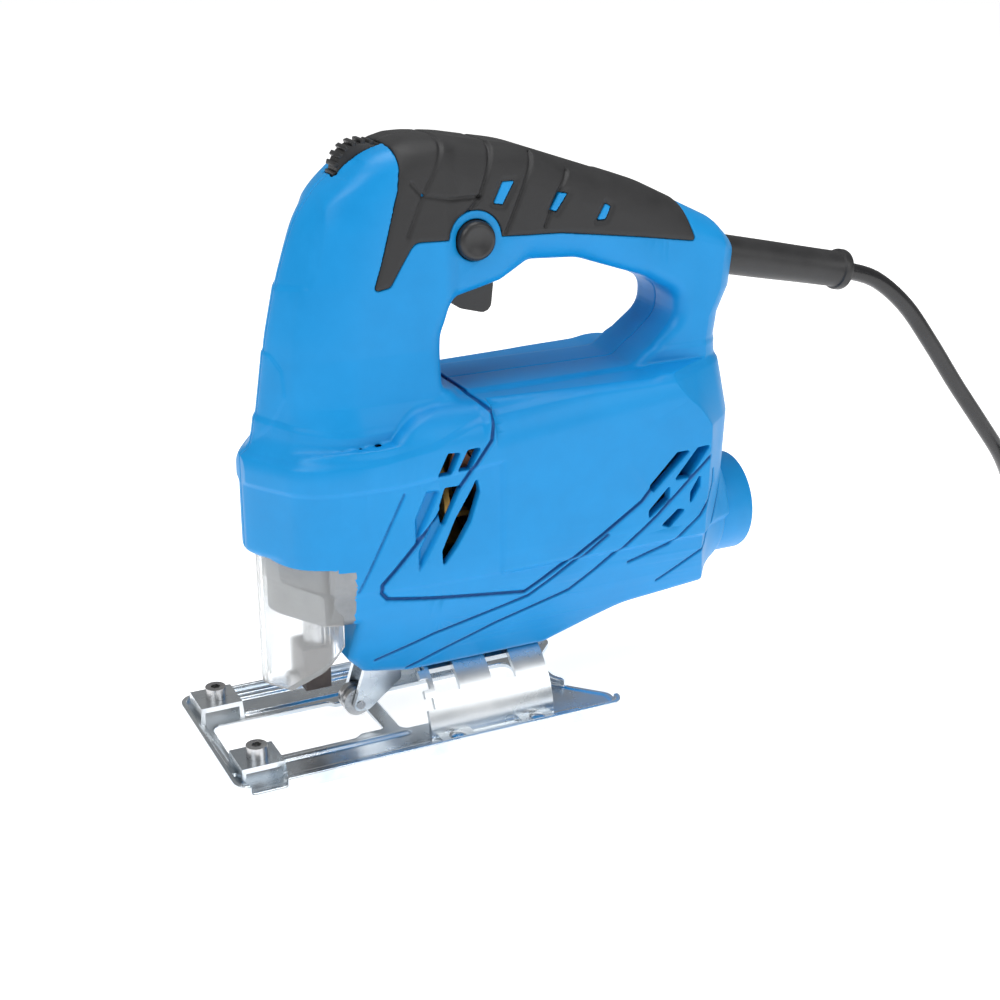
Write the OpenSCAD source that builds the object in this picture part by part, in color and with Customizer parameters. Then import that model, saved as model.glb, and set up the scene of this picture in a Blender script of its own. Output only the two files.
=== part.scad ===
// Corded jigsaw. The origin is where the blade's centre line crosses the sole. -X is the cutting
// direction, +X the cord end, +Y the tool's right side and +Z up. Sizes are in millimetres.

/* [Overall] */
// Height of the top of the housing above the sole
top_z = 201; // [190:1:245]
// Front of the housing's nose, behind the blade line
nose_x = -22.5; // [-26:0.5:-21]
// Rear wall of the housing, under the cord
rear_x = 155; // [150:1:190]
// Half width of the motor barrel
barrel_half = 31; // [30:0.5:38]
// Half width of the handle
handle_half = 17; // [15:0.5:21]
// Wall of the two housing halves
wall = 3; // [2.4:0.2:3.6]
// Thickness of the rubber grips
grip_t = 1.6; // [1:0.2:2]
// Depth of the guard pocket behind the nose wall
pocket = 3.2; // [3:0.1:3.6]

/* [Shoe] */
// Length of the shoe
shoe_l = 140; // [120:1:170]
// Width of the shoe
shoe_w = 70; // [60:1:84]
// Distance from the shoe's front edge to the blade line
shoe_front = 40; // [34:1:48]
// Sheet the shoe is pressed from
shoe_t = 2; // [1.5:0.1:2.4]
// Height of the shoe's turned up rim
rim_h = 5; // [4:0.5:6]
// Outer radius of the bevel bracket
bracket_r = 27; // [23:0.5:31]
// Length of the bevel bracket
bracket_l = 46; // [42:1:52]
// Largest bevel angle each way
bevel_max = 45; // [30:1:45]
// Width of the rip fence bar
fence_w = 12; // [10:0.5:13]

/* [Drive] */
// Height of the motor shaft
motor_z = 80; // [78:0.5:84]
// Radius of the motor's laminated stack
stator_r = 27; // [24:0.5:27]
// Gear module
gear_module = 1; // [1:0.05:1.05]
// Teeth of the motor pinion
pinion_teeth = 9; // [9:1:11]
// Teeth of the crank gear
gear_teeth = 43; // [40:1:43]
// Stroke of the plunger
stroke = 18; // [14:1:20]
// Radius of the plunger rod
rod_r = 4; // [3.5:0.1:4.4]
// Radius of the motor shaft
shaft_r = 4; // [3.5:0.1:4.5]
// Radius of the guide roller
roller_r = 5; // [4.5:0.1:5.4]

/* [Dust port and cord] */
// Radius of the dust port's bore
port_bore_r = 16; // [15:0.5:18]
// Wall of the dust port
port_wall = 2; // [1.75:0.25:2.5]
// Length of the dust port behind the housing
port_out = 6; // [4:1:14]
// Radius of the lock button
button_r = 6.3; // [5:0.1:7]
// Travel of the lock button
button_travel = 2.5; // [2:0.5:3]
// Diameter of the cord
cord_d = 6.2; // [6:0.1:6.4]

/* [Hidden] */
$fn = 48;
// Running clearance between moving pieces
gap = 0.3;
// Clearance of a pin or shaft in its bore
fit = 0.05;
// Overlap of a cutting tool past the face it cuts
over = 1;
lip_z = 70;
barrel_top = 118.5;
belly_z = 22.5;
port_z = 58;
gear_z = motor_z + gear_module * (pinion_teeth + gear_teeth) / 2;
crank_r = stroke / 2;
port_r = port_bore_r + port_wall;
port_end = rear_x + port_out;
slope = 18;
lean = 12;
shoe_back = shoe_l - shoe_front;
half_w = shoe_w / 2;
bracket_x = 30;
bracket_t = 2;
screw_r = 1.9;
boss_r = 4.4;
// Places of the housing screws, x and z
screw_spots = [
  [nose_x + 52, top_z - 54], [rear_x - 62, top_z - 30], [rear_x - 12, barrel_top - 8],
  [rear_x - 32, 40], [20, 40], [nose_x + 67, top_z - 12]
];
gear_x = 16;
gear_t = 6;
front_bearing_x = 27;
rear_bearing_x = 126;
bearing_t = 7;
bearing_r = 11;
stack_x = 60;
stack_l = 34;
fan_x = 37;
trigger_x = 41;
trigger_z = top_z - 45;
button_x = 51.5;
button_z = top_z - 33.3;
dial_r = 10;
dial_w = 8;
dial_x = nose_x + 42.8;
dial_z = top_z - 12;
sleeve_tilt = 11.9;
sleeve_r = 6.8;
sleeve_l = 51;
exit_x = rear_x + 1;
exit_z = top_z - 51.5;
cord_r = cord_d / 2;
// Route of the free cord, from the sleeve to the coil
cord_route = [
  [206, 0, 139], [221, 0, 134], [236, 0, 122.5], [250, 0, 106], [264, 0, 88], [278, 0, 71], [291, 1, 55.5],
  [303, 6.5, 41], [315, 14, 27], [328, 21.5, 14.5], [342, 28.5, 6], [357, 33, 3.1]
];
// Route of the cord from the coil to the plug
plug_route = [
  [399.4, 8.5, 9.3], [404.4, -3.5, 12], [405.6, -16, 15.2], [401.8, -30, 18], [391.5, -40.4, 19.8],
  [377.5, -44.2, 20.4], [371, -44.2, 20.5]
];
coil_x = 357;
coil_y = -16;
// Radius of the coil's outermost turn, and how far the turns reach in from it
coil_r = 49;
coil_in = 21.6;
coil_high = 2;
plug_x = 371;
plug_y = -44.2;
plug_z = 20.5;

// A closed outline of points [x, y, r], each corner rounded to its radius r.
function unit(v) = v / norm(v);
function corner(p, c, n, r) =
  let (u = unit(p - c), v = unit(n - c), half = acos(u * v) / 2)
  r < 0.01 || half > 89.5 ? [c] :
  let (t = r / tan(half), a = c + u * t, b = c + v * t, m = c + unit(u + v) * (r / sin(half)),
    steps = half > 80 ? 1 : half > 65 ? 2 : 4)
  [for (i = [0:steps]) m + r * unit((a - m) * (1 - i / steps) + (b - m) * (i / steps))];
function xy(p) = [p[0], p[1]];
function rounded(p) =
  [for (i = [0:len(p) - 1])
    each corner(xy(p[(i + len(p) - 1) % len(p)]), xy(p[i]), xy(p[(i + 1) % len(p)]), p[i][2])];
// The outline of a shape that is the same on both sides of its centre line, from one side's points.
function both_y(p) =
  concat(p, [for (i = [len(p) - 1:-1:0]) if (p[i][1] > 0) [p[i][0], -p[i][1], p[i][2]]]);
function both_x(p) =
  concat(p, [for (i = [len(p) - 1:-1:0]) if (p[i][0] > 0) [-p[i][0], p[i][1], p[i][2]]]);

// Prisms along each axis, from outlines drawn as seen from the side, the front and above.
module along_y(y0, y1) {
  translate([0, y1, 0]) rotate([90, 0, 0]) linear_extrude(y1 - y0) children();
}
module along_x(x0, x1) {
  translate([x0, 0, 0]) rotate([90, 0, 90]) linear_extrude(x1 - x0) children();
}
module along_z(z0, z1) {
  translate([0, 0, z0]) linear_extrude(z1 - z0) children();
}
module rod_x(x0, x1, y, z, r) {
  translate([x0, y, z]) rotate([0, 90, 0]) cylinder(h = x1 - x0, r = r);
}
module rod_y(y0, y1, x, z, r) {
  translate([x, y1, z]) rotate([90, 0, 0]) cylinder(h = y1 - y0, r = r);
}
module rod_z(z0, z1, x, y, r) {
  translate([x, y, z0]) cylinder(h = z1 - z0, r = r);
}
module block(x0, x1, y0, y1, z0, z1) {
  translate([x0, y0, z0]) cube([x1 - x0, y1 - y0, z1 - z0]);
}

// ---- Housing ----

// Side outline of the whole tool without its handle hole, from the nose's lip over the top.
side_points = [
  [nose_x + 2.5, lip_z, 2], [nose_x, lip_z + 6, 2], [nose_x, lip_z + 30, 3],
  [nose_x + 5, lip_z + 37, 3], [nose_x + 9.5, top_z - 61, 60], [nose_x + 19.5, top_z - 26, 50],
  [nose_x + 38.5, top_z - 4, 25], [nose_x + 54.5, top_z, 6], [rear_x - 85, top_z - 6.5, 60],
  [rear_x - 41, top_z - 21.5, 60], [rear_x - 9, top_z - 37, 10], [rear_x + 1, top_z - 44, 3],
  [rear_x + 2, top_z - 59, 3], [rear_x - 4, top_z - 66, 8], [rear_x - 6, 119, 20],
  [rear_x - 4, 100, 15], [rear_x - 5, 78, 4], [rear_x - 9, 36, 6], [rear_x - 49, 34, 30],
  [78, belly_z, 4], [28, belly_z, 3], [11, 26, 4], [4.5, 33, 3], [6, 48, 0], [nose_x + 6.5, 49, 3],
  [nose_x + 5.5, lip_z, 0]
];
// The hole that the fingers go through.
hole_points = [
  [38.5, barrel_top + 3, 4], [39.5, top_z - 62, 10], [44, top_z - 52, 8], [62, top_z - 48, 3],
  [73, top_z - 43, 8], [91, top_z - 44, 20], [rear_x - 40, top_z - 52, 8], [rear_x - 27.5, top_z - 59, 6],
  [rear_x - 27.5, top_z - 68, 9], [rear_x - 44, barrel_top, 6], [50, barrel_top, 6]
];
module side_shape() {
  difference() {
    polygon(rounded(side_points));
    polygon(rounded(hole_points));
  }
}
module barrel_front() {
  polygon(rounded(both_x([
    [0, belly_z, 0], [15, belly_z, 1], [21.5, 36, 15], [barrel_half - 2, 54, 15], [barrel_half, 68, 15],
    [barrel_half, barrel_top, 12], [0, barrel_top, 0]
  ])));
}
module barrel_plan() {
  polygon(rounded(both_y([
    [nose_x - 2, 0, 10], [nose_x + 15.5, 26.5, 14], [20, barrel_half - 1, 30], [40, barrel_half, 20],
    [rear_x - 24, barrel_half, 26], [rear_x - 6, 13, 12]
  ])));
}
module nose_front() {
  polygon(rounded(both_x([
    [0, 49, 0], [27, 49, 0], [27, 100, 8], [20, 130, 30], [18.5, top_z - 40, 30], [16, top_z + 4, 8],
    [0, top_z + 4, 0]
  ])));
}
module nose_plan() {
  polygon(rounded(both_y([[nose_x - 2, 0, 10], [nose_x + 16.5, 28, 10], [70, 28, 0]])));
}
module handle_front() {
  polygon(rounded(both_x([[0, -130, 0], [handle_half, -130, 0], [handle_half, 1, 12], [0, 1, 0]])));
}
module handle_plan() {
  polygon(rounded(both_y([[nose_x - 20, handle_half + 1, 0], [rear_x + 2, handle_half + 1, handle_half]])));
}
module shrunk(d) {
  offset(delta = -d) children();
}
// The outer shape of the housing, drawn in by the depth d all over.
module envelope(d) {
  intersection() {
    along_y(-50, 50) shrunk(d) side_shape();
    union() {
      intersection() {
        along_x(nose_x - 5, rear_x + 5) shrunk(d) barrel_front();
        along_z(10, 130) shrunk(d) barrel_plan();
      }
      intersection() {
        along_x(nose_x - 5, 40) shrunk(d) nose_front();
        union() {
          along_z(40, lip_z + 37) shrunk(d) nose_plan();
          translate([0, 0, lip_z + 37]) rotate([0, lean, 0]) translate([7, 0, -12])
            along_z(0, 130) shrunk(d) nose_plan();
        }
      }
      intersection() {
        translate([nose_x + 54, 0, top_z]) rotate([0, slope, 0])
          along_x(-30 + d, 160) shrunk(d) handle_front();
        along_z(0, top_z + 10) shrunk(d) handle_plan();
      }
    }
  }
}
// The part of the nose below the lip, set in behind the guard.
module nose_recess() {
  difference() {
    block(nose_x - 5, 6, -40, 40, 44, lip_z);
    along_z(40, lip_z + 1) shrunk(pocket + 2.4) nose_plan();
  }
}
// The slot above the lip that the guard slides up into.
module guard_pocket() {
  difference() {
    along_z(lip_z - over, lip_z + 33) shrunk(wall - 0.4) nose_plan();
    along_z(40, lip_z + 34) shrunk(pocket + 2.4) nose_plan();
    block(4.5, 80, -40, 40, 0, 130);
  }
}
module inner_nose() {
  difference() {
    along_z(48, lip_z + 34) shrunk(pocket + 2.4) nose_plan();
    along_z(52, lip_z + 34 + over) shrunk(pocket + 4.4) nose_plan();
    block(6, 80, -40, 40, 0, 130);
  }
  difference() {
    block(nose_x, 6, -40, 40, lip_z + 33, lip_z + 36);
    along_z(lip_z, lip_z + 40) shrunk(pocket + 4.4) nose_plan();
  }
}
module saddle() {
  rod_x(bracket_x - 1, rear_x, 0, 0, bracket_r + gap);
}
// Plates and posts left standing inside the shell.
module inner_walls() {
  inner_nose();
  for (x = [stack_x + 2, stack_x + stack_l - 6]) block(x, x + 4, -40, 40, 20, barrel_top);
  block(rear_bearing_x - 2, rear_bearing_x + bearing_t + 2, -40, 40, motor_z - 14, motor_z + 14);
  for (s = screw_spots) rod_y(-40, 40, s[0], s[1], boss_r);
  for (s = [-1, 1]) block(dial_x - 3, dial_x + 4, s > 0 ? 5 : -20, s > 0 ? 20 : -5, dial_z - 4, dial_z + 8);
  block(bracket_x + 3, bracket_x + 33, -14, 14, 20, bracket_r + 5);
}
module inner_cuts() {
  rod_x(stack_x, stack_x + stack_l + 2, 0, motor_z, stator_r);
  rod_x(stack_x - 1, stack_x + stack_l + 3, 0, motor_z, stator_r - 3);
  rod_x(rear_bearing_x, rear_bearing_x + bearing_t, 0, motor_z, bearing_r);
  rod_x(rear_bearing_x - 3, rear_bearing_x + bearing_t + 3, 0, motor_z, bearing_r - 2);
  rod_z(50, 80, 0, 0, bush_r);
  rod_y(-8.2, 8.2, dial_x, dial_z, 2 + fit);
  rod_z(40, 80, 0, 0, rod_r + 1);
}
module vents() {
  slits = [[33, 98, 8, 7], [40, 99, 7, 7], [33, 84, 11, 18], [40, 70, 8, 11]];
  for (s = slits) {
    along_y(-60, 60) translate([s[0], s[1] - s[3] / 2])
      polygon([[0, 0], [s[2] - 3, 0], [s[2], s[3]], [3, s[3]]]);
  }
  for (i = [0:2]) {
    along_y(-60, 60) translate([rear_x - 45 + 10 * i, motor_z - 8 + 2 * i])
      polygon([[0, 0], [4, 0], [12, 12], [8, 12]]);
  }
}
module housing_cuts() {
  nose_recess();
  guard_pocket();
  saddle();
  vents();
  rod_z(20, 60, 0, 0, rod_r + 1);
  block(0, 30, -7, 7, 20, 47);
  rod_x(rear_x - 12, rear_x + 5, 0, port_z, port_r);
  rod_y(-dial_w / 2 - 0.5, dial_w / 2 + 0.5, dial_x, dial_z, dial_r + 0.5);
  block(trigger_x - 0.5, trigger_x + 23, -8.5, 8.5, trigger_z - 14, trigger_z + 4);
  rod_y(-40, 0, button_x, button_z, button_r + gap);
  translate([exit_x, 0, exit_z]) rotate([0, sleeve_tilt, 0]) rod_x(-12, 12, 0, 0, sleeve_r + 0.02);
  cord_frame() block(-22, -15, -9, 9, -5, 5);
  for (s = [38.5, 59.5]) rod_z(18, 50, s, 0, 2.6);
  for (s = screw_spots) {
    rod_y(-14, 40, s[0], s[1], screw_r);
    rod_y(10, 40, s[0], s[1], 3.8);
  }
}
module hard_shell() {
  difference() {
    envelope(0);
    difference() {
      envelope(wall);
      difference() {
        inner_walls();
        inner_cuts();
      }
    }
    housing_cuts();
    grip_skin();
  }
}
module left_side() {
  block(-200, 400, -200, 0, -50, 400);
}
module right_side() {
  block(-200, 400, 0, 200, -50, 400);
}
module housing_left() {
  color("dodgerblue") intersection() {
    hard_shell();
    left_side();
  }
}
module housing_right() {
  color("dodgerblue") intersection() {
    hard_shell();
    right_side();
  }
}
// The rubber skin over the handle, seen from the side.
grip_points = [
  [nose_x + 46.5, top_z + 5], [nose_x + 48.5, top_z - 2.5], [nose_x + 49, top_z - 8.5],
  [nose_x + 48, top_z - 16], [nose_x + 46, top_z - 23], [nose_x + 43, top_z - 34],
  [nose_x + 39, top_z - 46], [nose_x + 45, top_z - 45], [nose_x + 53, top_z - 32], [58, top_z - 33],
  [82, top_z - 34], [rear_x - 51, top_z - 37], [rear_x - 22, top_z - 41.5], [rear_x - 23.5, top_z - 36],
  [rear_x - 26, top_z - 26], [rear_x - 26, top_z + 5]
];
module grip_skin() {
  difference() {
    intersection() {
      envelope(0);
      along_y(-50, 50) polygon(grip_points);
    }
    envelope(grip_t);
    rod_y(-40, 40, button_x, button_z, button_r + 2.7);
    for (s = screw_spots) {
      rod_y(-13, 40, s[0], s[1], screw_r);
      rod_y(10, 40, s[0], s[1], 3.8);
    }
  }
}
module grip_left() {
  color("dimgray") intersection() {
    grip_skin();
    left_side();
  }
}
module grip_right() {
  color("dimgray") intersection() {
    grip_skin();
    right_side();
  }
}
module dust_port() {
  color("deepskyblue") difference() {
    rod_x(rear_x - 12, port_end, 0, port_z, port_r);
    rod_x(rear_x - 12 - over, port_end + over, 0, port_z, port_bore_r);
  }
}
module housing_screws() {
  color("silver") for (s = screw_spots) {
    rod_y(-12, 10, s[0], s[1], screw_r);
    difference() {
      rod_y(10, 12.4, s[0], s[1], 3.6);
      for (a = [0, 90]) translate([s[0], 11.6, s[1]]) rotate([0, a, 0]) block(-2, 2, 0, 2, -0.4, 0.4);
    }
  }
}

// ---- Gear case and bearings ----
bush_r = 7;
case_x = front_bearing_x - 2;
module gear_case() {
  color("lightgray") difference() {
    union() {
      block(case_x, case_x + 4, -16, 16, motor_z - 14, gear_z + 24);
      rod_x(case_x, front_bearing_x + bearing_t + 1, 0, motor_z, bearing_r + 2);
      block(-9, case_x + 1, -9, 9, gear_z + 25, gear_z + 31);
      block(case_x, case_x + 4, -16, 16, gear_z + 20, gear_z + 31);
    }
    rod_x(front_bearing_x, front_bearing_x + bearing_t + 2, 0, motor_z, bearing_r);
    rod_x(case_x - 1, front_bearing_x + 1, 0, motor_z, shaft_r + 2);
    rod_x(case_x - 1, case_x + 5, 0, gear_z, 3);
    rod_z(gear_z + 20, gear_z + 40, 0, 0, 6);
  }
}
module bush(z0, z1, r) {
  color("darkgoldenrod") difference() {
    rod_z(z0, z1, 0, 0, r);
    rod_z(z0 - over, z1 + over, 0, 0, rod_r + fit);
  }
}
module lower_bush() bush(52, 64, bush_r);
module upper_bush() bush(gear_z + 24, gear_z + 32, 6);
module gear_axle() {
  color("gray") rod_x(gear_x - 1.5, case_x + 5, 0, gear_z, 3);
}
module bearing(x0) {
  color("silver") difference() {
    rod_x(x0, x0 + bearing_t, 0, motor_z, bearing_r);
    rod_x(x0 - over, x0 + bearing_t + over, 0, motor_z, shaft_r + fit);
    for (x = [x0 - over, x0 + bearing_t - 0.6]) difference() {
      rod_x(x, x + 0.6 + over, 0, motor_z, bearing_r - 2);
      rod_x(x - over, x + 3, 0, motor_z, shaft_r + 2);
    }
  }
}
module front_bearing() bearing(front_bearing_x);
module rear_bearing() bearing(rear_bearing_x);

// ---- Motor ----
rotor_r = 16;
pole_r = rotor_r + 0.5;
coil_out = stator_r - 5;
module wedge(half_angle, r) {
  polygon([[0, 0], for (a = [-half_angle, -half_angle / 2, 0, half_angle / 2, half_angle])
    [r * sin(a), r * cos(a)]]);
}
module stator_core() {
  color("slategray") difference() {
    rod_x(stack_x, stack_x + stack_l, 0, motor_z, stator_r);
    difference() {
      rod_x(stack_x - over, stack_x + stack_l + over, 0, motor_z, coil_out);
      for (a = [0, 180]) translate([0, 0, motor_z]) along_x(0, 200) rotate(a) wedge(50, 30);
    }
    rod_x(stack_x - over, stack_x + stack_l + over, 0, motor_z, pole_r);
  }
}
module field_coil() {
  difference() {
    union() {
      intersection() {
        rod_x(stack_x - 7, stack_x + stack_l + 7, 0, 0, coil_out - 0.2);
        for (s = [-1, 1]) along_x(0, 200) rotate(s * 66) wedge(14, 40);
      }
      for (x = [stack_x - 7, stack_x + stack_l + 0.5]) intersection() {
        rod_x(x, x + 6.5, 0, 0, coil_out + 2);
        along_x(0, 200) rotate(0) polygon([[0, 0], [40, 8], [40, 40], [-40, 40], [-40, 8]]);
      }
    }
    rod_x(0, 200, 0, 0, pole_r + 0.3);
  }
}
module field_coils() {
  color("sandybrown") translate([0, 0, motor_z]) for (a = [0, 180]) rotate([a, 0, 0]) field_coil();
}
commutator_r = 11.5;
commutator_x = 106;
module brush_holders() {
  color("darkslategray") for (s = [-1, 1]) difference() {
    union() {
      block(commutator_x + 1, commutator_x + 11, s > 0 ? 14 : -26, s > 0 ? 26 : -14, motor_z - 6, motor_z + 6);
      block(commutator_x, commutator_x + 12, s > 0 ? 26 : -28, s > 0 ? 28 : -26, motor_z - 10, motor_z + 10);
    }
    block(commutator_x + 3, commutator_x + 9, s > 0 ? 13 : -26, s > 0 ? 26 : -13, motor_z - 4, motor_z + 4);
  }
}
module carbon_brushes() {
  color("dimgray") for (s = [-1, 1])
    block(commutator_x + 3.1, commutator_x + 8.9, s > 0 ? 11.8 : -22, s > 0 ? 22 : -11.8, motor_z - 3.9, motor_z + 3.9);
}
module motor_shaft() {
  color("silver") {
    rod_x(gear_x + 8, rear_bearing_x + bearing_t + 1, 0, motor_z, shaft_r);
  }
}
module rotor_core() {
  color("slategray") difference() {
    rod_x(stack_x + 1, stack_x + stack_l - 1, 0, motor_z, rotor_r);
    rod_x(stack_x, stack_x + stack_l, 0, motor_z, shaft_r);
    for (a = [0:30:330]) translate([0, 0, motor_z]) rotate([a, 0, 0])
      block(stack_x, stack_x + stack_l, -1, 1, rotor_r - 3, rotor_r + 1);
  }
}
module rotor_windings() {
  color("peru") for (x = [stack_x - 6, stack_x + stack_l - 1]) difference() {
    rod_x(x, x + 7, 0, motor_z, rotor_r - 2);
    rod_x(x - over, x + 8, 0, motor_z, shaft_r);
  }
}
module commutator() {
  color("peru") difference() {
    rod_x(stack_x + stack_l + 6, commutator_x + 12, 0, motor_z, commutator_r);
    rod_x(stack_x + stack_l, commutator_x + 13, 0, motor_z, shaft_r);
  }
}
fan_r = 24;
module fan() {
  color("gold") difference() {
    union() {
      rod_x(fan_x, fan_x + 2, 0, motor_z, fan_r);
      rod_x(fan_x, fan_x + 10, 0, motor_z, 8);
      for (a = [0:30:330]) translate([0, 0, motor_z]) rotate([a, 0, 0])
        block(fan_x + 1, fan_x + 9, -0.8, 0.8, 7, fan_r - 1);
    }
    rod_x(fan_x - over, fan_x + 11, 0, motor_z, shaft_r);
  }
}

// ---- Crank drive ----

// A gear outline with plain straight sided teeth, the first one pointing along +Y.
function tooth(r, thick) = asin(thick / 2 / r);
function gear_outline(n, m, shift) =
  let (p = n * m / 2, root = p - 1.3 * m, tip = p + 0.8 * m)
  [for (i = [0:n - 1]) let (a = 360 * (i + shift) / n)
    each [for (k = [[root, -1.0], [p, -0.62], [tip, -0.32], [tip, 0.32], [p, 0.62], [root, 1.0]])
      let (b = a + sign(k[1]) * tooth(k[0], 2 * abs(k[1]) * m)) [k[0] * sin(b), k[0] * cos(b)]]];
module pinion() {
  color("silver") translate([0, 0, motor_z]) along_x(gear_x - 0.5, gear_x + 8)
    polygon(gear_outline(pinion_teeth, gear_module, 0.5));
}
module crank_gear() {
  color("lightsteelblue") difference() {
    translate([0, 0, gear_z]) along_x(gear_x, gear_x + gear_t)
      rotate(180) polygon(gear_outline(gear_teeth, gear_module, 0));
    rod_x(gear_x - over, gear_x + gear_t + over, 0, gear_z, 3 + fit);
    rod_x(gear_x - over, gear_x + gear_t + over, crank_r, gear_z, pin_r);
  }
}
pin_r = 2.8;
yoke_back = 12;
module crank_pin() {
  color("silver") rod_x(yoke_back + 0.5, gear_x + gear_t, crank_r, gear_z, pin_r);
}
module yoke() {
  color("lightgray") difference() {
    union() {
      block(-6, yoke_back, -7, 7, gear_z - 7, gear_z + 7);
      block(0, yoke_back, -crank_r - 7, crank_r + 7, gear_z - 7, gear_z + 7);
    }
    block(5.5, yoke_back + over, -crank_r - 4, crank_r + 4, gear_z - pin_r - 0.2, gear_z + pin_r + 0.2);
    rod_z(0, 300, 0, 0, rod_r);
  }
}
clamp_z = 19;
clamp_h = 15;
module plunger() {
  color("silver") rod_z(clamp_z + clamp_h - 6, gear_z + 37, 0, 0, rod_r);
}
module blade_clamp() {
  color("dimgray") difference() {
    union() {
      block(-6.5, 2.4, -6.5, 6.5, clamp_z, clamp_z + clamp_h);
      rod_z(clamp_z + clamp_h - 8, clamp_z + clamp_h, 0, 0, rod_r + 1.6);
    }
    rod_z(clamp_z + clamp_h - 6, clamp_z + clamp_h + over, 0, 0, rod_r);
    block(-3.2, 0.8, -0.8, 0.8, clamp_z - over, clamp_z + 8);
    block(-3.2, 0.8, -3.2, 3.2, clamp_z + 4, clamp_z + 7.5);
    rod_x(-8, -3, 0, clamp_z + 3, 1.5);
  }
}
module clamp_bolt() {
  color("gray") difference() {
    union() {
      rod_x(-6.5, -3.4, 0, clamp_z + 3, 1.5);
      rod_x(-10, -6.5, 0, clamp_z + 3, 2.6);
    }
    rod_x(-10.5, -8.2, 0, clamp_z + 3, 1.3, $fn = 6);
  }
}

// ---- Handle: switch, trigger, lock, dial, cord ----
module switch_body() {
  color("black") difference() {
    block(44, 78, -10, 10, trigger_z + 7, trigger_z + 25);
    rod_y(-11, -5, button_x, button_z, 4.5);
  }
}
module trigger() {
  color("dimgray") intersection() {
    block(trigger_x, trigger_x + 21, -8, 8, trigger_z - 20, trigger_z + 4);
    along_y(-10, 10) polygon(rounded([
      [trigger_x, trigger_z + 4, 0], [trigger_x, trigger_z - 5, 4], [trigger_x + 9, trigger_z - 12, 6],
      [trigger_x + 20, trigger_z - 15, 3], [trigger_x + 21, trigger_z - 5, 2],
      [trigger_x + 18, trigger_z + 4, 1]
    ]));
  }
}
module lock_button() {
  color("black") {
    rod_y(-handle_half - 3, -11 - button_travel, button_x, button_z, button_r);
    rod_y(-11.2 - button_travel, -5.2 - button_travel, button_x, button_z, 4);
  }
}
module speed_board() {
  color("seagreen") block(nose_x + 48, nose_x + 66, -9, 9, dial_z - 17, dial_z - 15.4);
  color("dimgray") block(nose_x + 50, nose_x + 60, -6, 6, dial_z - 15.4, dial_z - 11);
}
module speed_dial() {
  color("dimgray") difference() {
    union() {
      rod_y(-dial_w / 2, dial_w / 2, dial_x, dial_z, dial_r);
      rod_y(-8, 8, dial_x, dial_z, 2);
    }
    for (a = [0:20:340]) translate([dial_x, 0, dial_z]) rotate([0, a, 0])
      translate([dial_r + 0.4, 0, 0]) rotate([90, 0, 0]) cylinder(h = 20, r = 0.9, center = true, $fn = 24);
  }
}
module cord_frame() {
  translate([exit_x, 0, exit_z]) rotate([0, sleeve_tilt, 0]) children();
}
module strain_relief() {
  color("black") cord_frame() difference() {
    union() {
      rod_x(-12, sleeve_l - 3, 0, 0, sleeve_r);
      rod_x(sleeve_l - 3, sleeve_l, 0, 0, sleeve_r + 0.6);
      rod_x(-12, -9, 0, 0, sleeve_r + 0.6);
    }
    rod_x(-13, sleeve_l + over, 0, 0, cord_r + 0.1);
  }
}
module cord_clamp() {
  color("gray") cord_frame() difference() {
    block(-22, -15, -9, 9, -5, 5);
    rod_x(-23, -14, 0, 0, cord_r);
  }
}

// A tube of the radius r through the points p, turned square to the route at each point.
function heading(p, i) =
  unit((i < len(p) - 1 ? p[i + 1] : p[i]) - (i > 0 ? p[i - 1] : p[i]));
module tube(p, r, sides = 10) {
  rings = [for (i = [0:len(p) - 1])
    let (t = heading(p, i), s = unit(cross([0, 0, 1], t)), u = cross(t, s))
    for (k = [0:sides - 1]) p[i] + r * (s * cos(360 * k / sides) + u * sin(360 * k / sides))];
  n = len(p);
  polyhedron(rings, concat(
    [[for (k = [0:sides - 1]) k]],
    [for (i = [0:n - 2]) for (k = [0:sides - 1])
      [i * sides + k, (i + 1) * sides + k, (i + 1) * sides + (k + 1) % sides, i * sides + (k + 1) % sides]],
    [[for (k = [sides - 1:-1:0]) (n - 1) * sides + k]]));
}
// Points along a smooth curve through the route's own points.
function blend(p, i, t) =
  let (a = p[max(i - 1, 0)], b = p[i], c = p[i + 1], d = p[min(i + 2, len(p) - 1)])
  0.5 * (2 * b + (c - a) * t + (2 * a - 5 * b + 4 * c - d) * t * t + (3 * b - a - 3 * c + d) * t * t * t);
function smooth(p, steps) =
  concat([for (i = [0:len(p) - 2]) for (k = [0:steps - 1]) blend(p, i, k / steps)], [p[len(p) - 1]]);
module power_cord() {
  color("black") tube(smooth(cord_route, 2), cord_r);
}
module plug_lead() {
  color("black") tube(smooth(plug_route, 2), cord_r);
}
coil_inner = coil_r - coil_in - cord_r;
coil_outer = coil_r + cord_r;
module coil_ring(d, h) {
  translate([coil_x, coil_y, 0]) rotate_extrude()
    translate([coil_inner - d, 0]) square([coil_outer - coil_inner + 2 * d, h]);
}
module cord_coil() {
  color("black") coil_ring(0, coil_high * cord_d);
}
module cord_tie() {
  color("gray") difference() {
    translate([coil_x, coil_y, 0])
      block(-coil_outer - 1.2, 1.2 - coil_inner, -4, 4, 0, coil_high * cord_d + 1.2);
    translate([0, 0, -over]) coil_ring(0.01, coil_high * cord_d + over);
  }
}
module plug() {
  color("black") translate([plug_x, plug_y, plug_z]) rotate([0, 0, 90]) along_z(-8, 8) polygon(rounded([
    [-6, 0, 2], [6, 0, 2], [7, 12, 4], [17, 22, 6], [17, 40, 3], [-17, 40, 3], [-17, 22, 6], [-7, 12, 4]
  ]));
}
module plug_pins() {
  color("silver") for (s = [-1, 1]) rod_x(plug_x - 59, plug_x - 40, plug_y + s * 9.5, plug_z, 2.4);
}

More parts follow.
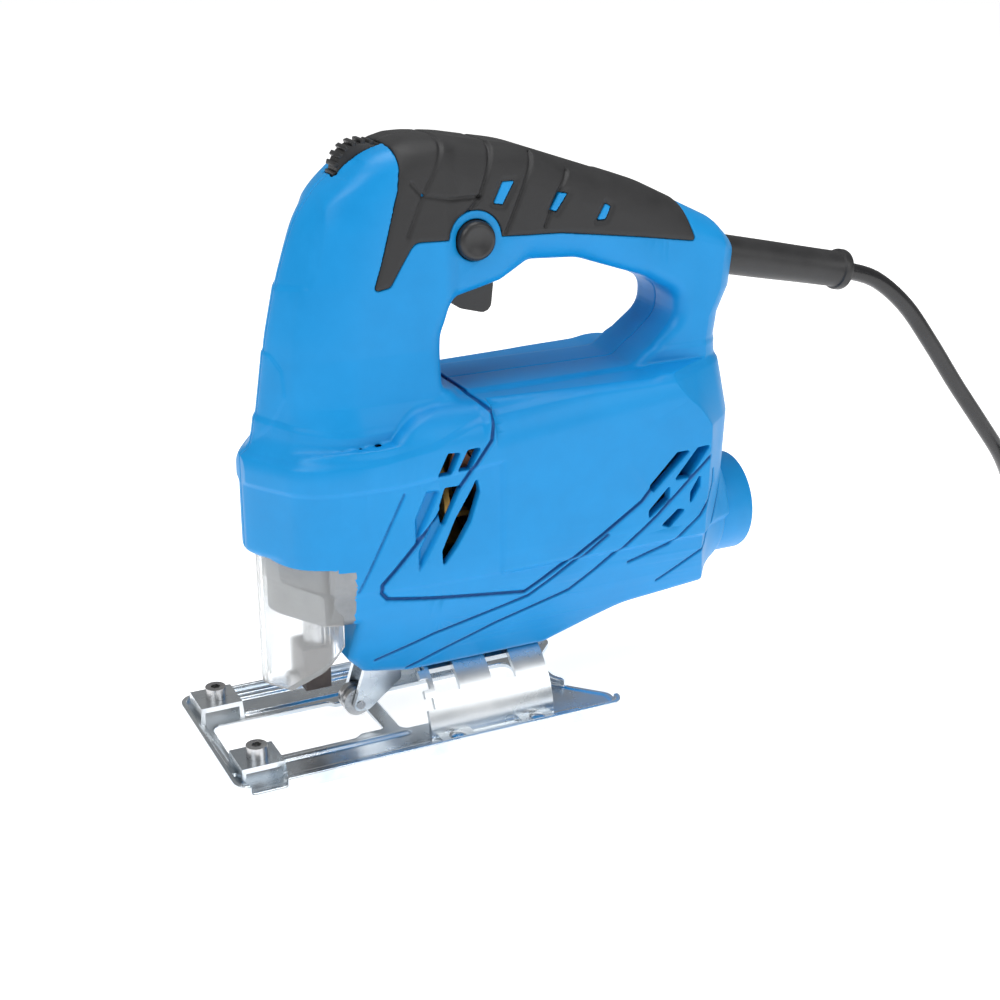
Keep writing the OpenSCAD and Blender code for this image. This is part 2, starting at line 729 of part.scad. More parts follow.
// ---- Shoe and bevel bracket ----
module plate_outline(d) {
  offset(delta = -d) polygon(rounded([
    [-shoe_front, -half_w, 6], [shoe_back, -half_w, 5], [shoe_back, -half_w + 12, 4],
    [shoe_back - 14, -8, 8], [shoe_back - 14, 8, 8], [shoe_back, half_w - 12, 4], [shoe_back, half_w, 5],
    [-shoe_front, half_w, 6]
  ]));
}
web_x = 18.5;
window_half = 14;
module shoe() {
  color("gainsboro") difference() {
    along_z(0, rim_h) plate_outline(0);
    along_z(shoe_t, rim_h + over) plate_outline(1.6);
    along_z(-over, rim_h + over) polygon(rounded([
      [-shoe_front + 6, -window_half, 3], [8, -window_half, 3], [10, -12, 1], [web_x, -12, 1], [web_x, 12, 1],
      [10, 12, 1], [8, window_half, 3], [-shoe_front + 6, window_half, 3]
    ]));
    along_z(-over, rim_h + over) polygon(rounded([
      [24, -15, 3], [78, -15, 3], [78, 15, 3], [24, 15, 3]
    ]));
    block(shoe_back - 12, shoe_back + over, -half_w + 6, half_w - 6, shoe_t, rim_h + over);
    for (s = [-1, 1]) block(arch_x - fence_w / 2, arch_x + fence_w / 2, s * half_w - 3, s * half_w + 3, shoe_t, rim_h + over);
    for (x = rivet_x) for (s = [-1, 1]) rod_z(-over, 9, x, s * rivet_y, 1.5);
  }
}
arch_x = -29.5;
arch_y = 22.5;
arch_w = 14;
arch_top = shoe_t + 6.6;
module fence_arches() {
  color("gainsboro") for (s = [-1, 1]) difference() {
    along_y(s * arch_y - arch_w / 2, s * arch_y + arch_w / 2) polygon([
      [arch_x - fence_w / 2 - 1.8, shoe_t], [arch_x - fence_w / 2 - 1.2, arch_top],
      [arch_x + fence_w / 2 + 1.2, arch_top], [arch_x + fence_w / 2 + 1.8, shoe_t],
      [arch_x + fence_w / 2 + 0.2, shoe_t], [arch_x + fence_w / 2, arch_top - 1.8],
      [arch_x - fence_w / 2, arch_top - 1.8], [arch_x - fence_w / 2 - 0.2, shoe_t]
    ]);
    rod_z(arch_top - 3, arch_top + 1, arch_x, s * arch_y, 2);
  }
}
module fence_screws() {
  color("silver") for (s = [-1, 1]) difference() {
    union() {
      rod_z(arch_top - 2, arch_top, arch_x, s * arch_y, 2);
      rod_z(arch_top, arch_top + 4, arch_x, s * arch_y, 3.5);
    }
    rod_z(arch_top + 1.6, arch_top + 5, arch_x, s * arch_y, 1.7, $fn = 6);
  }
}
foot_t = 1.6;
rivet_y = bracket_r + 3.6;
rivet_x = [bracket_x + 8, bracket_x + bracket_l - 8];
bracket_slots = [[4, 13], [25, 34]];
module bevel_bracket() {
  color("gainsboro") difference() {
    union() {
      rod_x(bracket_x, bracket_x + bracket_l, 0, 0, bracket_r);
      for (x = rivet_x) block(x - 6, x + 6, 2.2 - half_w, half_w - 2.2, shoe_t, shoe_t + foot_t);
    }
    rod_x(bracket_x - over, bracket_x + bracket_l + over, 0, 0, bracket_r - bracket_t);
    block(0, 200, -60, 60, -60, shoe_t);
    for (b = bracket_slots) translate([bracket_x + b[0], 0, 0])
      along_x(0, b[1] - b[0]) polygon([[0, 0], [-40, 40 / tan(bevel_max + 9)], [-40, 60], [40, 60], [40, 40 / tan(bevel_max + 9)]]);
    for (a = [-60:15:60]) rotate([a, 0, 0])
      translate([bracket_x - over, -2, bracket_r - 5]) cube([2.6 + over, 4, 8]);
    for (x = rivet_x) for (s = [-1, 1]) rod_z(0, 9, x, s * rivet_y, 1.5);
  }
}
module bracket_rivets() {
  color("silver") for (x = rivet_x) for (s = [-1, 1]) {
    rod_z(0, shoe_t + foot_t, x, s * rivet_y, 1.5);
    rod_z(shoe_t + foot_t, shoe_t + foot_t + 0.9, x, s * rivet_y, 2.4);
  }
}
module clamp_plate() {
  color("silver") difference() {
    rod_x(bracket_x + 2, bracket_x + 36, 0, 0, bracket_r - bracket_t - gap);
    rod_x(0, 200, 0, 0, bracket_r - bracket_t - gap - 3);
    along_x(0, 200) polygon([[0, 0], [-60, 60 / tan(32)], [-60, -60], [60, -60], [60, 60 / tan(32)]]);
    for (x = [38.5, 59.5]) rod_z(10, 40, x, 0, 2.6);
  }
}
module clamp_screws() {
  color("gray") for (x = [38.5, 59.5]) difference() {
    union() {
      rod_z(bracket_r - 7, bracket_r + 16, x, 0, 2.6);
      rod_z(bracket_r - 10.6, bracket_r - 6.1, x, 0, 4.4);
    }
    rod_z(0, bracket_r - 8, x, 0, 2, $fn = 6);
  }
}
roller_x = 13;
roller_z = 9;
module roller_fork() {
  color("silver") {
    for (s = [-1, 1]) difference() {
      along_y(s * 4.6 - 1, s * 4.6 + 1) polygon(rounded([
        [roller_x - 3, roller_z - 2.4, 2], [roller_x + 3, roller_z - 2.4, 2], [28, 16, 2], [28, belly_z, 0],
        [15, belly_z, 2]
      ]));
      rod_y(-10, 10, roller_x, roller_z, 1.5);
    }
    block(20, 28, -3.6, 3.6, belly_z - 2, belly_z);
  }
}
module roller_pin() {
  color("gray") rod_y(-6, 6, roller_x, roller_z, 1.5);
}
module guide_roller() {
  color("silver") difference() {
    rod_y(-3.2, 3.2, roller_x, roller_z, roller_r);
    rod_y(-5, 5, roller_x, roller_z, 1.5 + fit);
    rotate_roller_groove();
  }
}
module rotate_roller_groove() {
  translate([roller_x, 0, roller_z]) rotate([90, 0, 0]) rotate_extrude()
    polygon([[roller_r + 1, -1.4], [roller_r - 1.2, -0.6], [roller_r - 1.2, 0.6], [roller_r + 1, 1.4]]);
}
module blade_guard() {
  color("azure", 0.5) difference() {
    intersection() {
      along_y(-40, 40) polygon([
        [nose_x - 5, lip_z + 8], [nose_x - 5, 23], [-13, 23], [1, 42], [1, lip_z + 8]
      ]);
      along_z(20, lip_z + 8) shrunk(pocket) nose_plan();
    }
    along_z(10, lip_z + 9) shrunk(pocket + 1.8) nose_plan();
  }
}

housing_left();
housing_right();
grip_left();
grip_right();
dust_port();
gear_case();
lower_bush();
upper_bush();
gear_axle();
front_bearing();
rear_bearing();
stator_core();
field_coils();
brush_holders();
carbon_brushes();
switch_body();
speed_board();
cord_clamp();
housing_screws();
clamp_plate();
clamp_screws();
roller_fork();
roller_pin();
strain_relief();
power_cord();
cord_coil();
cord_tie();
plug_lead();
plug();
plug_pins();
shoe();
fence_arches();
fence_screws();
bevel_bracket();
bracket_rivets();
motor_shaft();
rotor_core();
rotor_windings();
commutator();
fan();
pinion();
crank_gear();
crank_pin();
plunger();
yoke();
blade_clamp();
clamp_bolt();
trigger();
lock_button();
speed_dial();
guide_roller();
blade_guard();
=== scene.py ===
import math

import bmesh
import bpy
import numpy as np
from mathutils import Matrix, Vector


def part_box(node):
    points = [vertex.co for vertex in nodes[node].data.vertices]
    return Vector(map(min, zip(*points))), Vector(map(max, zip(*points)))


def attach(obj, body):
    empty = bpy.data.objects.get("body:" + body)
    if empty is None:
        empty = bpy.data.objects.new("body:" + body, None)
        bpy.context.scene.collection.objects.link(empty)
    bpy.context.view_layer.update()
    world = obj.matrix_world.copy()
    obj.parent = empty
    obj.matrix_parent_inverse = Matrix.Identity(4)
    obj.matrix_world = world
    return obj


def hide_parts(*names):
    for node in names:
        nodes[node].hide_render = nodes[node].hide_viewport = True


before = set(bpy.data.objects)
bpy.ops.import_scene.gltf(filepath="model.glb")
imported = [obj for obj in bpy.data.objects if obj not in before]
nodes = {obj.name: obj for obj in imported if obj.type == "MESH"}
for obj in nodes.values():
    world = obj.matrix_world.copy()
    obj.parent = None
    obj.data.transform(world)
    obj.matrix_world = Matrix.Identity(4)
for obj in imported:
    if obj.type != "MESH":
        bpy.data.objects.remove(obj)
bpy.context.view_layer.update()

# ---------------------------------------------------------------- camera, floor and light
# A long lens looks down on the left front of the tool. The tool stands on a pale sweep, under a
# broad soft box on the left, a weaker one on the right and a strip that draws the top edges.
camera_data = bpy.data.cameras.new("camera")
camera_data.lens = 60.7
camera_data.sensor_width = 36.0
camera_data.clip_start = 0.01
camera = bpy.data.objects.new("camera", camera_data)
camera.location = (-0.1669, -0.4865, 0.280)
camera.rotation_euler = (math.radians(90 - 21.0), 0.0, math.radians(-25.8))
bpy.context.collection.objects.link(camera)
scene = bpy.context.scene
scene.camera = camera
scene.view_settings.view_transform = "Standard"


def new_material(name):
    """A material with its nodes cleared down to the principled shader and the output."""
    material = bpy.data.materials.new(name)
    material.use_nodes = True
    shader = material.node_tree.nodes["Principled BSDF"]
    return material, material.node_tree, shader


def noise_node(tree, scale, detail=3.0, rough=0.5, stretch=None):
    """A noise texture on the piece's own coordinates, and its factor."""
    place = tree.nodes.new("ShaderNodeTexCoord")
    noise = tree.nodes.new("ShaderNodeTexNoise")
    noise.inputs["Scale"].default_value = scale
    noise.inputs["Detail"].default_value = detail
    noise.inputs["Roughness"].default_value = rough
    if stretch:
        mapping = tree.nodes.new("ShaderNodeMapping")
        mapping.inputs["Scale"].default_value = stretch
        tree.links.new(place.outputs["Object"], mapping.inputs["Vector"])
        tree.links.new(mapping.outputs["Vector"], noise.inputs["Vector"])
    else:
        tree.links.new(place.outputs["Object"], noise.inputs["Vector"])
    return noise.outputs["Fac"]


def ramp_node(tree, factor, stops):
    """A colour ramp over the factor, from (place, colour) stops."""
    ramp = tree.nodes.new("ShaderNodeValToRGB")
    elements = ramp.color_ramp.elements
    while len(elements) < len(stops):
        elements.new(0.5)
    for element, (place, colour) in zip(elements, stops):
        element.position = place
        element.color = (*colour, 1) if len(colour) == 3 else colour
    tree.links.new(factor, ramp.inputs["Fac"])
    return ramp.outputs["Color"]


def range_node(tree, factor, low, high, start=0.0, end=1.0):
    """The factor's stretch from start to end, mapped to low to high."""
    mapped = tree.nodes.new("ShaderNodeMapRange")
    mapped.inputs["From Min"].default_value = start
    mapped.inputs["From Max"].default_value = end
    mapped.inputs["To Min"].default_value = low
    mapped.inputs["To Max"].default_value = high
    tree.links.new(factor, mapped.inputs["Value"])
    return mapped.outputs["Result"]


floor_mesh = bpy.data.meshes.new("floor")
floor_mesh.from_pydata(
    [(-6, -6, -0.0005), (6, -6, -0.0005), (6, 6, -0.0005), (-6, 6, -0.0005)], [], [(0, 1, 2, 3)]
)
floor = bpy.data.objects.new("floor", floor_mesh)
bpy.context.collection.objects.link(floor)
floor_paper, tree, shader = new_material("floor_paper")
tree.links.new(
    ramp_node(tree, noise_node(tree, 2.0), [(0.3, (0.93, 0.93, 0.935)), (0.7, (0.95, 0.95, 0.95))]),
    shader.inputs["Base Color"],
)
shader.inputs["Roughness"].default_value = 0.6
shader.inputs["Emission Color"].default_value = (1, 1, 1, 1)
shader.inputs["Emission Strength"].default_value = 0.72
floor_mesh.materials.append(floor_paper)


def soft_box(name, place, target, size, power):
    """A square area light that faces its target."""
    light = bpy.data.lights.new(name, "AREA")
    light.shape = "RECTANGLE"
    light.size, light.size_y = size
    light.energy = power
    lamp = bpy.data.objects.new(name, light)
    lamp.location = place
    aim = Vector(target) - Vector(place)
    lamp.rotation_euler = aim.to_track_quat("-Z", "Y").to_euler()
    bpy.context.collection.objects.link(lamp)


soft_box("key_light", (-0.9, -0.55, 1.15), (0.05, 0, 0.1), (0.7, 0.7), 8)
soft_box("fill_light", (0.75, -1.1, 0.75), (0.05, 0, 0.1), (0.7, 0.7), 4.5)
soft_box("top_light", (0.10, 0.05, 1.3), (0.05, 0, 0.1), (0.8, 0.6), 8.5)
world = bpy.data.worlds.new("studio")
world.use_nodes = True
world.node_tree.nodes["Background"].inputs["Color"].default_value = (1, 1, 1, 1)
world.node_tree.nodes["Background"].inputs["Strength"].default_value = 0.28
scene.world = world

# ---------------------------------------------------------------- cord, coil and plug lead
# The mains lead is round black PVC over three cores. It leaves the strain relief, drops to the
# bench, and its spare length is wound in two layers and tied, with the plug beside the coil.
cord_diameter = 0.0062
cord_route = [
    (0.206, 0, 0.139), (0.221, 0, 0.134), (0.236, 0, 0.1225), (0.250, 0, 0.106), (0.264, 0, 0.088),
    (0.278, 0, 0.071), (0.291, 0.001, 0.0555), (0.303, 0.0065, 0.041), (0.315, 0.014, 0.027),
    (0.328, 0.0215, 0.0145), (0.342, 0.0285, 0.006), (0.357, 0.033, 0.0031),
]
plug_route = [
    (0.3994, 0.0085, 0.0093), (0.4044, -0.0035, 0.012), (0.4056, -0.016, 0.0152), (0.4018, -0.030, 0.018),
    (0.3915, -0.0404, 0.0198), (0.3775, -0.0442, 0.0204), (0.371, -0.0442, 0.0205),
]
coil_centre = (0.357, -0.016)
coil_radius = 0.049
coil_reach = 0.0216
coil_turns = 7 + 1 / 6
climb_turns = 0.3


def smooth_route(points, steps):
    """Points along a Catmull-Rom curve through the route."""
    p = [Vector(q) for q in points]
    out = []
    for i in range(len(p) - 1):
        a, b, c, d = p[max(i - 1, 0)], p[i], p[i + 1], p[min(i + 2, len(p) - 1)]
        for k in range(steps):
            t = k / steps
            out.append(
                0.5 * (2 * b + (c - a) * t + (2 * a - 5 * b + 4 * c - d) * t * t
                       + (3 * b - a - 3 * c + d) * t ** 3)
            )
    out.append(p[-1])
    return out


def coil_points():
    """The wound turns: inwards on the bench, up, then outwards on top, each a cord's width apart."""
    low = cord_diameter / 2
    high = low + cord_diameter + 0.0001
    first = (coil_turns - climb_turns) / 2
    out = []
    count = int(coil_turns * 40)
    for i in range(1, count):
        turn = coil_turns * i / count
        if turn < first:
            radius, z = coil_radius - coil_reach * turn / first, low
        elif turn < first + climb_turns:
            rise = (turn - first) / climb_turns
            radius, z = coil_radius - coil_reach, low + (high - low) * (3 * rise ** 2 - 2 * rise ** 3)
        else:
            radius = coil_radius - coil_reach * (coil_turns - turn) / first
            z = high
        angle = math.radians(90) - 2 * math.pi * turn
        out.append(Vector((coil_centre[0] + radius * math.cos(angle),
                           coil_centre[1] + radius * math.sin(angle), z)))
    return out


lead_points = smooth_route(cord_route, 5) + coil_points() + smooth_route(plug_route, 5)
lead_curve = bpy.data.curves.new("mains_lead", "CURVE")
lead_curve.dimensions = "3D"
lead_curve.bevel_depth = cord_diameter / 2
lead_curve.bevel_resolution = 4
lead_curve.use_fill_caps = True
spline = lead_curve.splines.new("POLY")
spline.points.add(len(lead_points) - 1)
for point, place in zip(spline.points, lead_points):
    point.co = (*place, 1)
mains_lead = bpy.data.objects.new("mains_lead", lead_curve)
bpy.context.collection.objects.link(mains_lead)



def bump(tree, shader, height, strength, distance):
    """Fine relief on the shader from a height."""
    node = tree.nodes.new("ShaderNodeBump")
    node.inputs["Strength"].default_value = strength
    node.inputs["Distance"].default_value = distance
    tree.links.new(height, node.inputs["Height"])
    tree.links.new(node.outputs["Normal"], shader.inputs["Normal"])


def finish(name, dark, light, grain, rough, relief=(0.0, 0.0), metallic=0.0, stretch=None):
    """A surface whose colour and gloss wander a little between two limits, with fine relief."""
    material, tree, shader = new_material(name)
    wander = noise_node(tree, grain, 4.0, 0.6, stretch)
    tree.links.new(ramp_node(tree, wander, [(0.3, dark), (0.7, light)]), shader.inputs["Base Color"])
    tree.links.new(range_node(tree, wander, rough[0], rough[1], 0.3, 0.7), shader.inputs["Roughness"])
    shader.inputs["Metallic"].default_value = metallic
    if relief[0]:
        bump(tree, shader, noise_node(tree, relief[0], 2.0), relief[1], 0.0002)
    return material


cord_skin = finish("cord_skin", (0.008, 0.008, 0.009), (0.018, 0.018, 0.02), 60, (0.2, 0.32), (900, 0.05))
lead_curve.materials.append(cord_skin)
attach(mains_lead, "tool_body")
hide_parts("power_cord", "cord_coil", "plug_lead")


def paint(node, material):
    """Gives a CAD node's object its material."""
    mesh = nodes[node].data
    mesh.materials.clear()
    mesh.materials.append(material)


tie_nylon = finish("tie_nylon", (0.02, 0.02, 0.022), (0.05, 0.05, 0.055), 400, (0.5, 0.6), (1200, 0.3))
plug_moulding = finish(
    "plug_moulding", (0.008, 0.008, 0.009), (0.02, 0.02, 0.022), 300, (0.35, 0.45), (1500, 0.2)
)
nickel = finish("nickel", (0.5, 0.48, 0.45), (0.68, 0.66, 0.62), 200, (0.2, 0.32), metallic=1.0)
paint("cord_tie", tie_nylon)
paint("plug", plug_moulding)
paint("plug_pins", nickel)

# ---------------------------------------------------------------- housing halves
# Two clamshells of glass-filled nylon, moulded in blue and screwed together from the right. Their
# shape is worked out as one field of distances, in millimetres, that is negative inside the plastic
# and is then meshed. The rubber grips later take their shape from the same field.
mm = 0.001
step = 0.45
top_z, nose_x, rear_x, lip_z, barrel_top = 201.0, -22.5, 155.0, 70.0, 118.5
skin = 2.6
axis_x = np.arange(nose_x - 2, rear_x + 4, step, dtype=np.float32)
axis_y = np.arange(-33.5, 2 * step, step, dtype=np.float32)
axis_z = np.arange(21.0, top_z + 3, step, dtype=np.float32)
grid_x, grid_z = np.meshgrid(axis_x, axis_z, indexing="ij")
half_y = np.abs(axis_y)[None, :, None]


def rounded_outline(points, steps=5):
    """The outline through (x, z, r) points, with each corner rounded to its radius r."""
    out = []
    count = len(points)
    for i, (x, z, r) in enumerate(points):
        here = np.array((x, z))
        before = np.array(points[i - 1][:2]) - here
        after = np.array(points[(i + 1) % count][:2]) - here
        before = before / np.linalg.norm(before)
        after = after / np.linalg.norm(after)
        half = math.acos(max(-1, min(1, float(before @ after)))) / 2
        if r == 0 or half > math.radians(89.5):
            out.append(here)
            continue
        middle = here + (before + after) / np.linalg.norm(before + after) * r / math.sin(half)
        start = here + before * r / math.tan(half) - middle
        end = here + after * r / math.tan(half) - middle
        for k in range(steps + 1):
            ray = start * (1 - k / steps) + end * k / steps
            out.append(middle + ray / np.linalg.norm(ray) * r)
    return out


def line_distance(points, grid=(grid_x, grid_z)):
    """Distance from each point of the grid to an open line."""
    u, v = grid
    least = np.full(u.shape, 1e3)
    for a, b in zip(points, points[1:]):
        du, dv = b[0] - a[0], b[1] - a[1]
        along = np.clip(((u - a[0]) * du + (v - a[1]) * dv) / (du * du + dv * dv), 0, 1)
        least = np.minimum(least, np.hypot(u - a[0] - along * du, v - a[1] - along * dv))
    return least


def area_distance(points, grid=(grid_x, grid_z)):
    """Signed distance to a closed outline, negative inside."""
    u, v = grid
    loop = list(points) + [points[0]]
    inside = np.zeros(u.shape, bool)
    for (au, av), (bu, bv) in zip(loop, loop[1:]):
        if av == bv:
            continue
        crosses = (v >= min(av, bv)) & (v < max(av, bv))
        inside ^= crosses & (u < au + (v - av) * (bu - au) / (bv - av))
    return np.where(inside, -1, 1) * line_distance(loop, grid)


def round_max(a, b, r):
    """The larger of two distances, with the edge between them rounded to the radius r."""
    return np.minimum(np.maximum(a, b), -r) + np.hypot(np.maximum(a + r, 0), np.maximum(b + r, 0))


def round_min(a, b, r):
    """The smaller of two distances, with the corner between them filled to the radius r."""
    return -round_max(-a, -b, r)


def ease(value, low, high):
    """0 below low, 1 above high, and smooth between."""
    t = np.clip((value - low) / (high - low), 0, 1)
    return t * t * (3 - 2 * t)


def groove(points, width, depth):
    """The relief of a groove along a line."""
    return -depth * (1 - ease(line_distance(points), width * 0.2, width * 0.5 + step * 0.5))


def raised(points, height, slope):
    """The relief of an area that stands proud, with sloped sides."""
    return height * np.clip(0.5 - area_distance(points) / slope, 0, 1)


# The side view: the nose's front is left to the wedge, and the handle hole goes right through.
side_points = [
    (nose_x, lip_z, 0), (nose_x - 4, lip_z, 0), (nose_x - 4, 107, 0), (nose_x + 4, 140, 40),
    (nose_x + 15.5, top_z - 26, 50), (nose_x + 38, top_z - 3.6, 24), (nose_x + 54.5, top_z, 6),
    (rear_x - 85, top_z - 6.5, 60), (rear_x - 41, top_z - 21.5, 60), (rear_x - 9, top_z - 37, 10),
    (rear_x + 1, top_z - 44, 3), (rear_x + 2, top_z - 59, 3), (rear_x - 4, top_z - 66, 8),
    (rear_x - 6, 119, 20), (rear_x - 4, 100, 15), (rear_x - 5, 78, 4), (rear_x - 6, 38.8, 2),
    (rear_x - 49, 34, 30), (78, 22.5, 4), (28, 22.5, 3), (11, 26, 4), (4.5, 33, 3), (6, 48, 0),
    (nose_x + 6.5, 49, 2), (nose_x + 5.5, lip_z, 0),
]
hole_points = [
    (38.5, barrel_top + 3, 4), (39.5, top_z - 62, 10), (44, top_z - 52, 8), (62, top_z - 48, 3),
    (73, top_z - 43, 8), (91, top_z - 44, 20), (115, top_z - 52, 8), (127.5, top_z - 59, 6),
    (127.5, top_z - 68, 9), (111, barrel_top, 6), (50, barrel_top, 6),
]
side = area_distance(rounded_outline(side_points))
hole = area_distance(rounded_outline(hole_points))
outline = np.maximum(side, -hole)

# Half widths. The barrel is widest along the motor and tucks in to the belly, the nose is
# narrower, and the column above it narrows again to the handle.
barrel_w = np.interp(axis_z, [22.5, 30, 36, 46, 54, 61, 68, 75], [15.2, 18.4, 21.5, 26, 28.8, 30.2, 30.9, 31])
nose_share = 0.87 + 0.13 * ease(axis_x, -8, 34)
barrel_w = barrel_w[None, :] * nose_share[:, None]
column_w = np.interp(
    axis_z, [22.5, 36, 54, 68, 104, 109, 114, 120, 135, 160, 180, 195, 203],
    [13, 19, 25, 27, 27, 24.5, 24, 21.6, 19.6, 18.6, 17.6, 16.4, 15.6],
)[None, :] + 0 * grid_x
handle_w = 17.0 - 1.2 * ease(axis_x, 60, 140)[:, None] + 0 * grid_x

# The wedge of the nose: both sides slant back from a blunt front edge that leans with the column.
front_x = np.interp(
    axis_z, [22, 49, 70, 76, 101, 108, 124, 140, 158, 175, 186, 193, 198, 203],
    [-19, -22.3, -22.5, -22.6, -22.4, -17.5, -15, -12.6, -8.6, -3.2, 2.4, 8.5, 16.5, 31],
)
blur = max(int(5 / step) | 1, 3)
front_x = np.convolve(np.pad(front_x, blur, mode="edge"), np.ones(blur) / blur, "same")[blur:-blur]
lean = np.gradient(front_x, step)
wedge_sin, wedge_cos = math.sin(math.radians(57)), math.cos(math.radians(57))
wedge = (
    np.sqrt(half_y ** 2 + 16) * wedge_cos - (grid_x - front_x[None, :] + 2.6)[:, None, :] * wedge_sin
) / np.sqrt(1 + (wedge_sin * lean) ** 2)[None, None, :]

roll = (13 - 10 * ease(axis_x, 47, 53))[:, None, None]
high = (grid_z - barrel_top)[:, None, :]
bevel_z = np.interp(axis_x, [52, 117, 150], [107, 114.5, 117])[:, None]
bevel = (half_y - 31) * 0.835 + ((grid_z - bevel_z) * 0.55 - 20 * (1 - ease(grid_x, 49, 52)))[:, None, :]
shoulder = ((np.interp(axis_z, [103, 109, 118], [-60, 19, 27])[None, :] - grid_x) * 0.75)[:, None, :]
barrel = round_max(half_y - barrel_w[:, None, :], high, roll)
barrel = round_max(round_max(barrel, bevel, 1.0), shoulder, 2.5)
column = round_max(half_y - column_w[:, None, :], (grid_x - 44)[:, None, :], 4)
handle = np.maximum(half_y - handle_w[:, None, :], (100 - grid_z)[:, None, :])
body = round_min(round_min(column, handle, 3.0), barrel, 1.5)
body = round_max(body, wedge, 12.0)
duct_axis = np.hypot(half_y, (axis_z - 58)[None, None, :])
duct = np.maximum(duct_axis - 19.2, (np.abs(grid_x - 125) - 24)[:, None, :])
tail_x = np.interp(
    axis_z, [30, 78, 100, 112, 122, 133, 142, 158], [144, 148.5, 149.5, 148.5, 147.5, 149, 153, 154.5]
)
tail_x = tail_x[None, None, :]
tail_r = np.interp(axis_z, [100, 119], [29, 16.4])[None, None, :]
tail_w = np.interp(axis_z, [100, 119], [31.3, 17.3])[None, None, :]
tail_w = tail_w + 15 * (1 - ease(grid_x, 106, 140))[:, None, :]
tail = np.hypot(
    np.maximum(grid_x[:, None, :] - (tail_x - tail_r), 0), np.maximum(half_y - (tail_w - tail_r), 0)
) - tail_r
body = np.maximum(body, np.where(grid_x[:, None, :] > 105, tail, -9))
body = round_min(body, duct, 7.0)
edge_r = 3.0 + 6.5 * ease(grid_z, 150, 165) * ease(grid_x, 20, 60) + 2.0 * ease(grid_z, 122, 135)
edge_r = edge_r + 4.0 * ease(grid_z, 180, 192) * (1 - ease(grid_x, 20, 60))
body = round_max(body, outline[:, None, :], edge_r[:, None, :])
pocket = np.maximum(np.maximum((grid_z - lip_z), grid_x - 5)[:, None, :], -(wedge + 5.6))
body = np.maximum(body, -pocket).astype(np.float32)
del barrel, column, handle, bevel

# Relief of the sides: terraces where the column meets the barrel, a panel over the motor, seams.
# The grooves' depths, lines, also go to the shell's material, which darkens the blue there as painted shade.
lines = groove([(43, 126), (47, 120), (51, 115.5), (50, 107), (41, 95), (13, 62.6), (13, 59.5), (15, 57),
                 (64, 50), (77, 58.6), (105.5, 77), (114, 86.5)], 1.3, 1.1)
lines += groove([(20.5, 93), (5.4, 61)], 0.9, 0.6)
lines += groove([(14, 31), (33, 39), (66, 48), (93, 67)], 1.1, 0.9)
lines += groove([(26, 25), (55, 38), (81.5, 47), (112, 71), (132, 89)], 1.1, 0.9)
lines += groove([(135, 83), (135, 78), (129, 68), (118, 58.5), (103, 54)], 1.0, 0.8)
lines += groove([(145, 82), (144, 74), (135, 55), (117, 43)], 1.0, 0.8)
relief = lines + raised([
    (-30, 60), (-30, 94.5), (-3, 94.5), (20, 95.8), (33, 97.4), (54, 99), (54, 60),
], -0.9, 1.6)
relief += raised([(-30, 60), (-30, 104), (-4, 103.5), (14, 104.5), (30, 107.5), (44, 112.5), (54, 114.5),
                  (90, 117.5), (160, 117.5), (160, 60)], 0.9, 1.7)
relief += raised([
    (-30, 60), (-30, 115), (-17, 115), (3, 112.5), (22, 113), (34, 118), (44, 124), (60, 124), (160, 124),
    (160, 60),
], 0.6, 1.7)
relief += raised([(-30, 155), (-13.2, 155), (-2.1, 157), (0.7, 162.8), (3.4, 174.7), (4.4, 185),
                  (1.8, 190.4), (-10, 200), (-30, 200)], -0.5, 1.2)
relief += groove([(7.8, 191), (11.5, 189.2), (16.7, 193.2)], 1.2, 0.5)
relief += raised([(-30, 137), (-17.6, 136.5), (-12.6, 135.2), (-10.6, 130.9), (-10.6, 122.9),
                  (-12.9, 116.7), (-16.4, 110.7), (-19.2, 107.2), (-30, 105)], 0.4, 0.9)
for louvre in (
    [(27.9, 92.7), (31.7, 92.4), (24.2, 76), (24, 83.6)],
    [(32.7, 87.2), (33.6, 81.9), (25.1, 66.6), (25.2, 73.1)],
):
    relief += raised(louvre, -1.9, 0.8)
    # The louvres' extra depth in lines only darkens the blue as painted shade; it is not relief.
    lines += raised(louvre, -0.3, 0.8)
vents = np.min([area_distance(slit) for slit in (
    [(35, 104.3), (38.4, 104.1), (35.6, 97.9), (31.8, 97.8)],
    [(41.9, 104.6), (45.4, 104.7), (42.2, 98.5), (38.7, 98.7)],
    [(34.1, 92.7), (39, 92.6), (33.3, 81), (32.3, 87.3)],
    [(44.9, 93.7), (45.6, 90.1), (42.4, 80.4), (37.7, 72.6), (33.5, 67.4), (33.2, 71.7), (37.8, 81.9),
     (43.2, 90.5)],
    [(119, 92), (123, 92), (110, 80), (109, 82)],
    [(127, 92.5), (131, 92.6), (124, 83), (119, 83)],
    [(116, 80), (116, 76), (109, 71), (109, 73)],
    [(120, 71.4), (122, 71), (117, 66), (114.5, 67)],
    [(128, 82), (128, 79), (125, 74), (125, 77)],
)], axis=0) - 0.45
blunt_front = (-22.9 - grid_x)[:, None, :]
outer = np.maximum(body - relief[:, None, :].astype(np.float32), blunt_front).astype(np.float32)

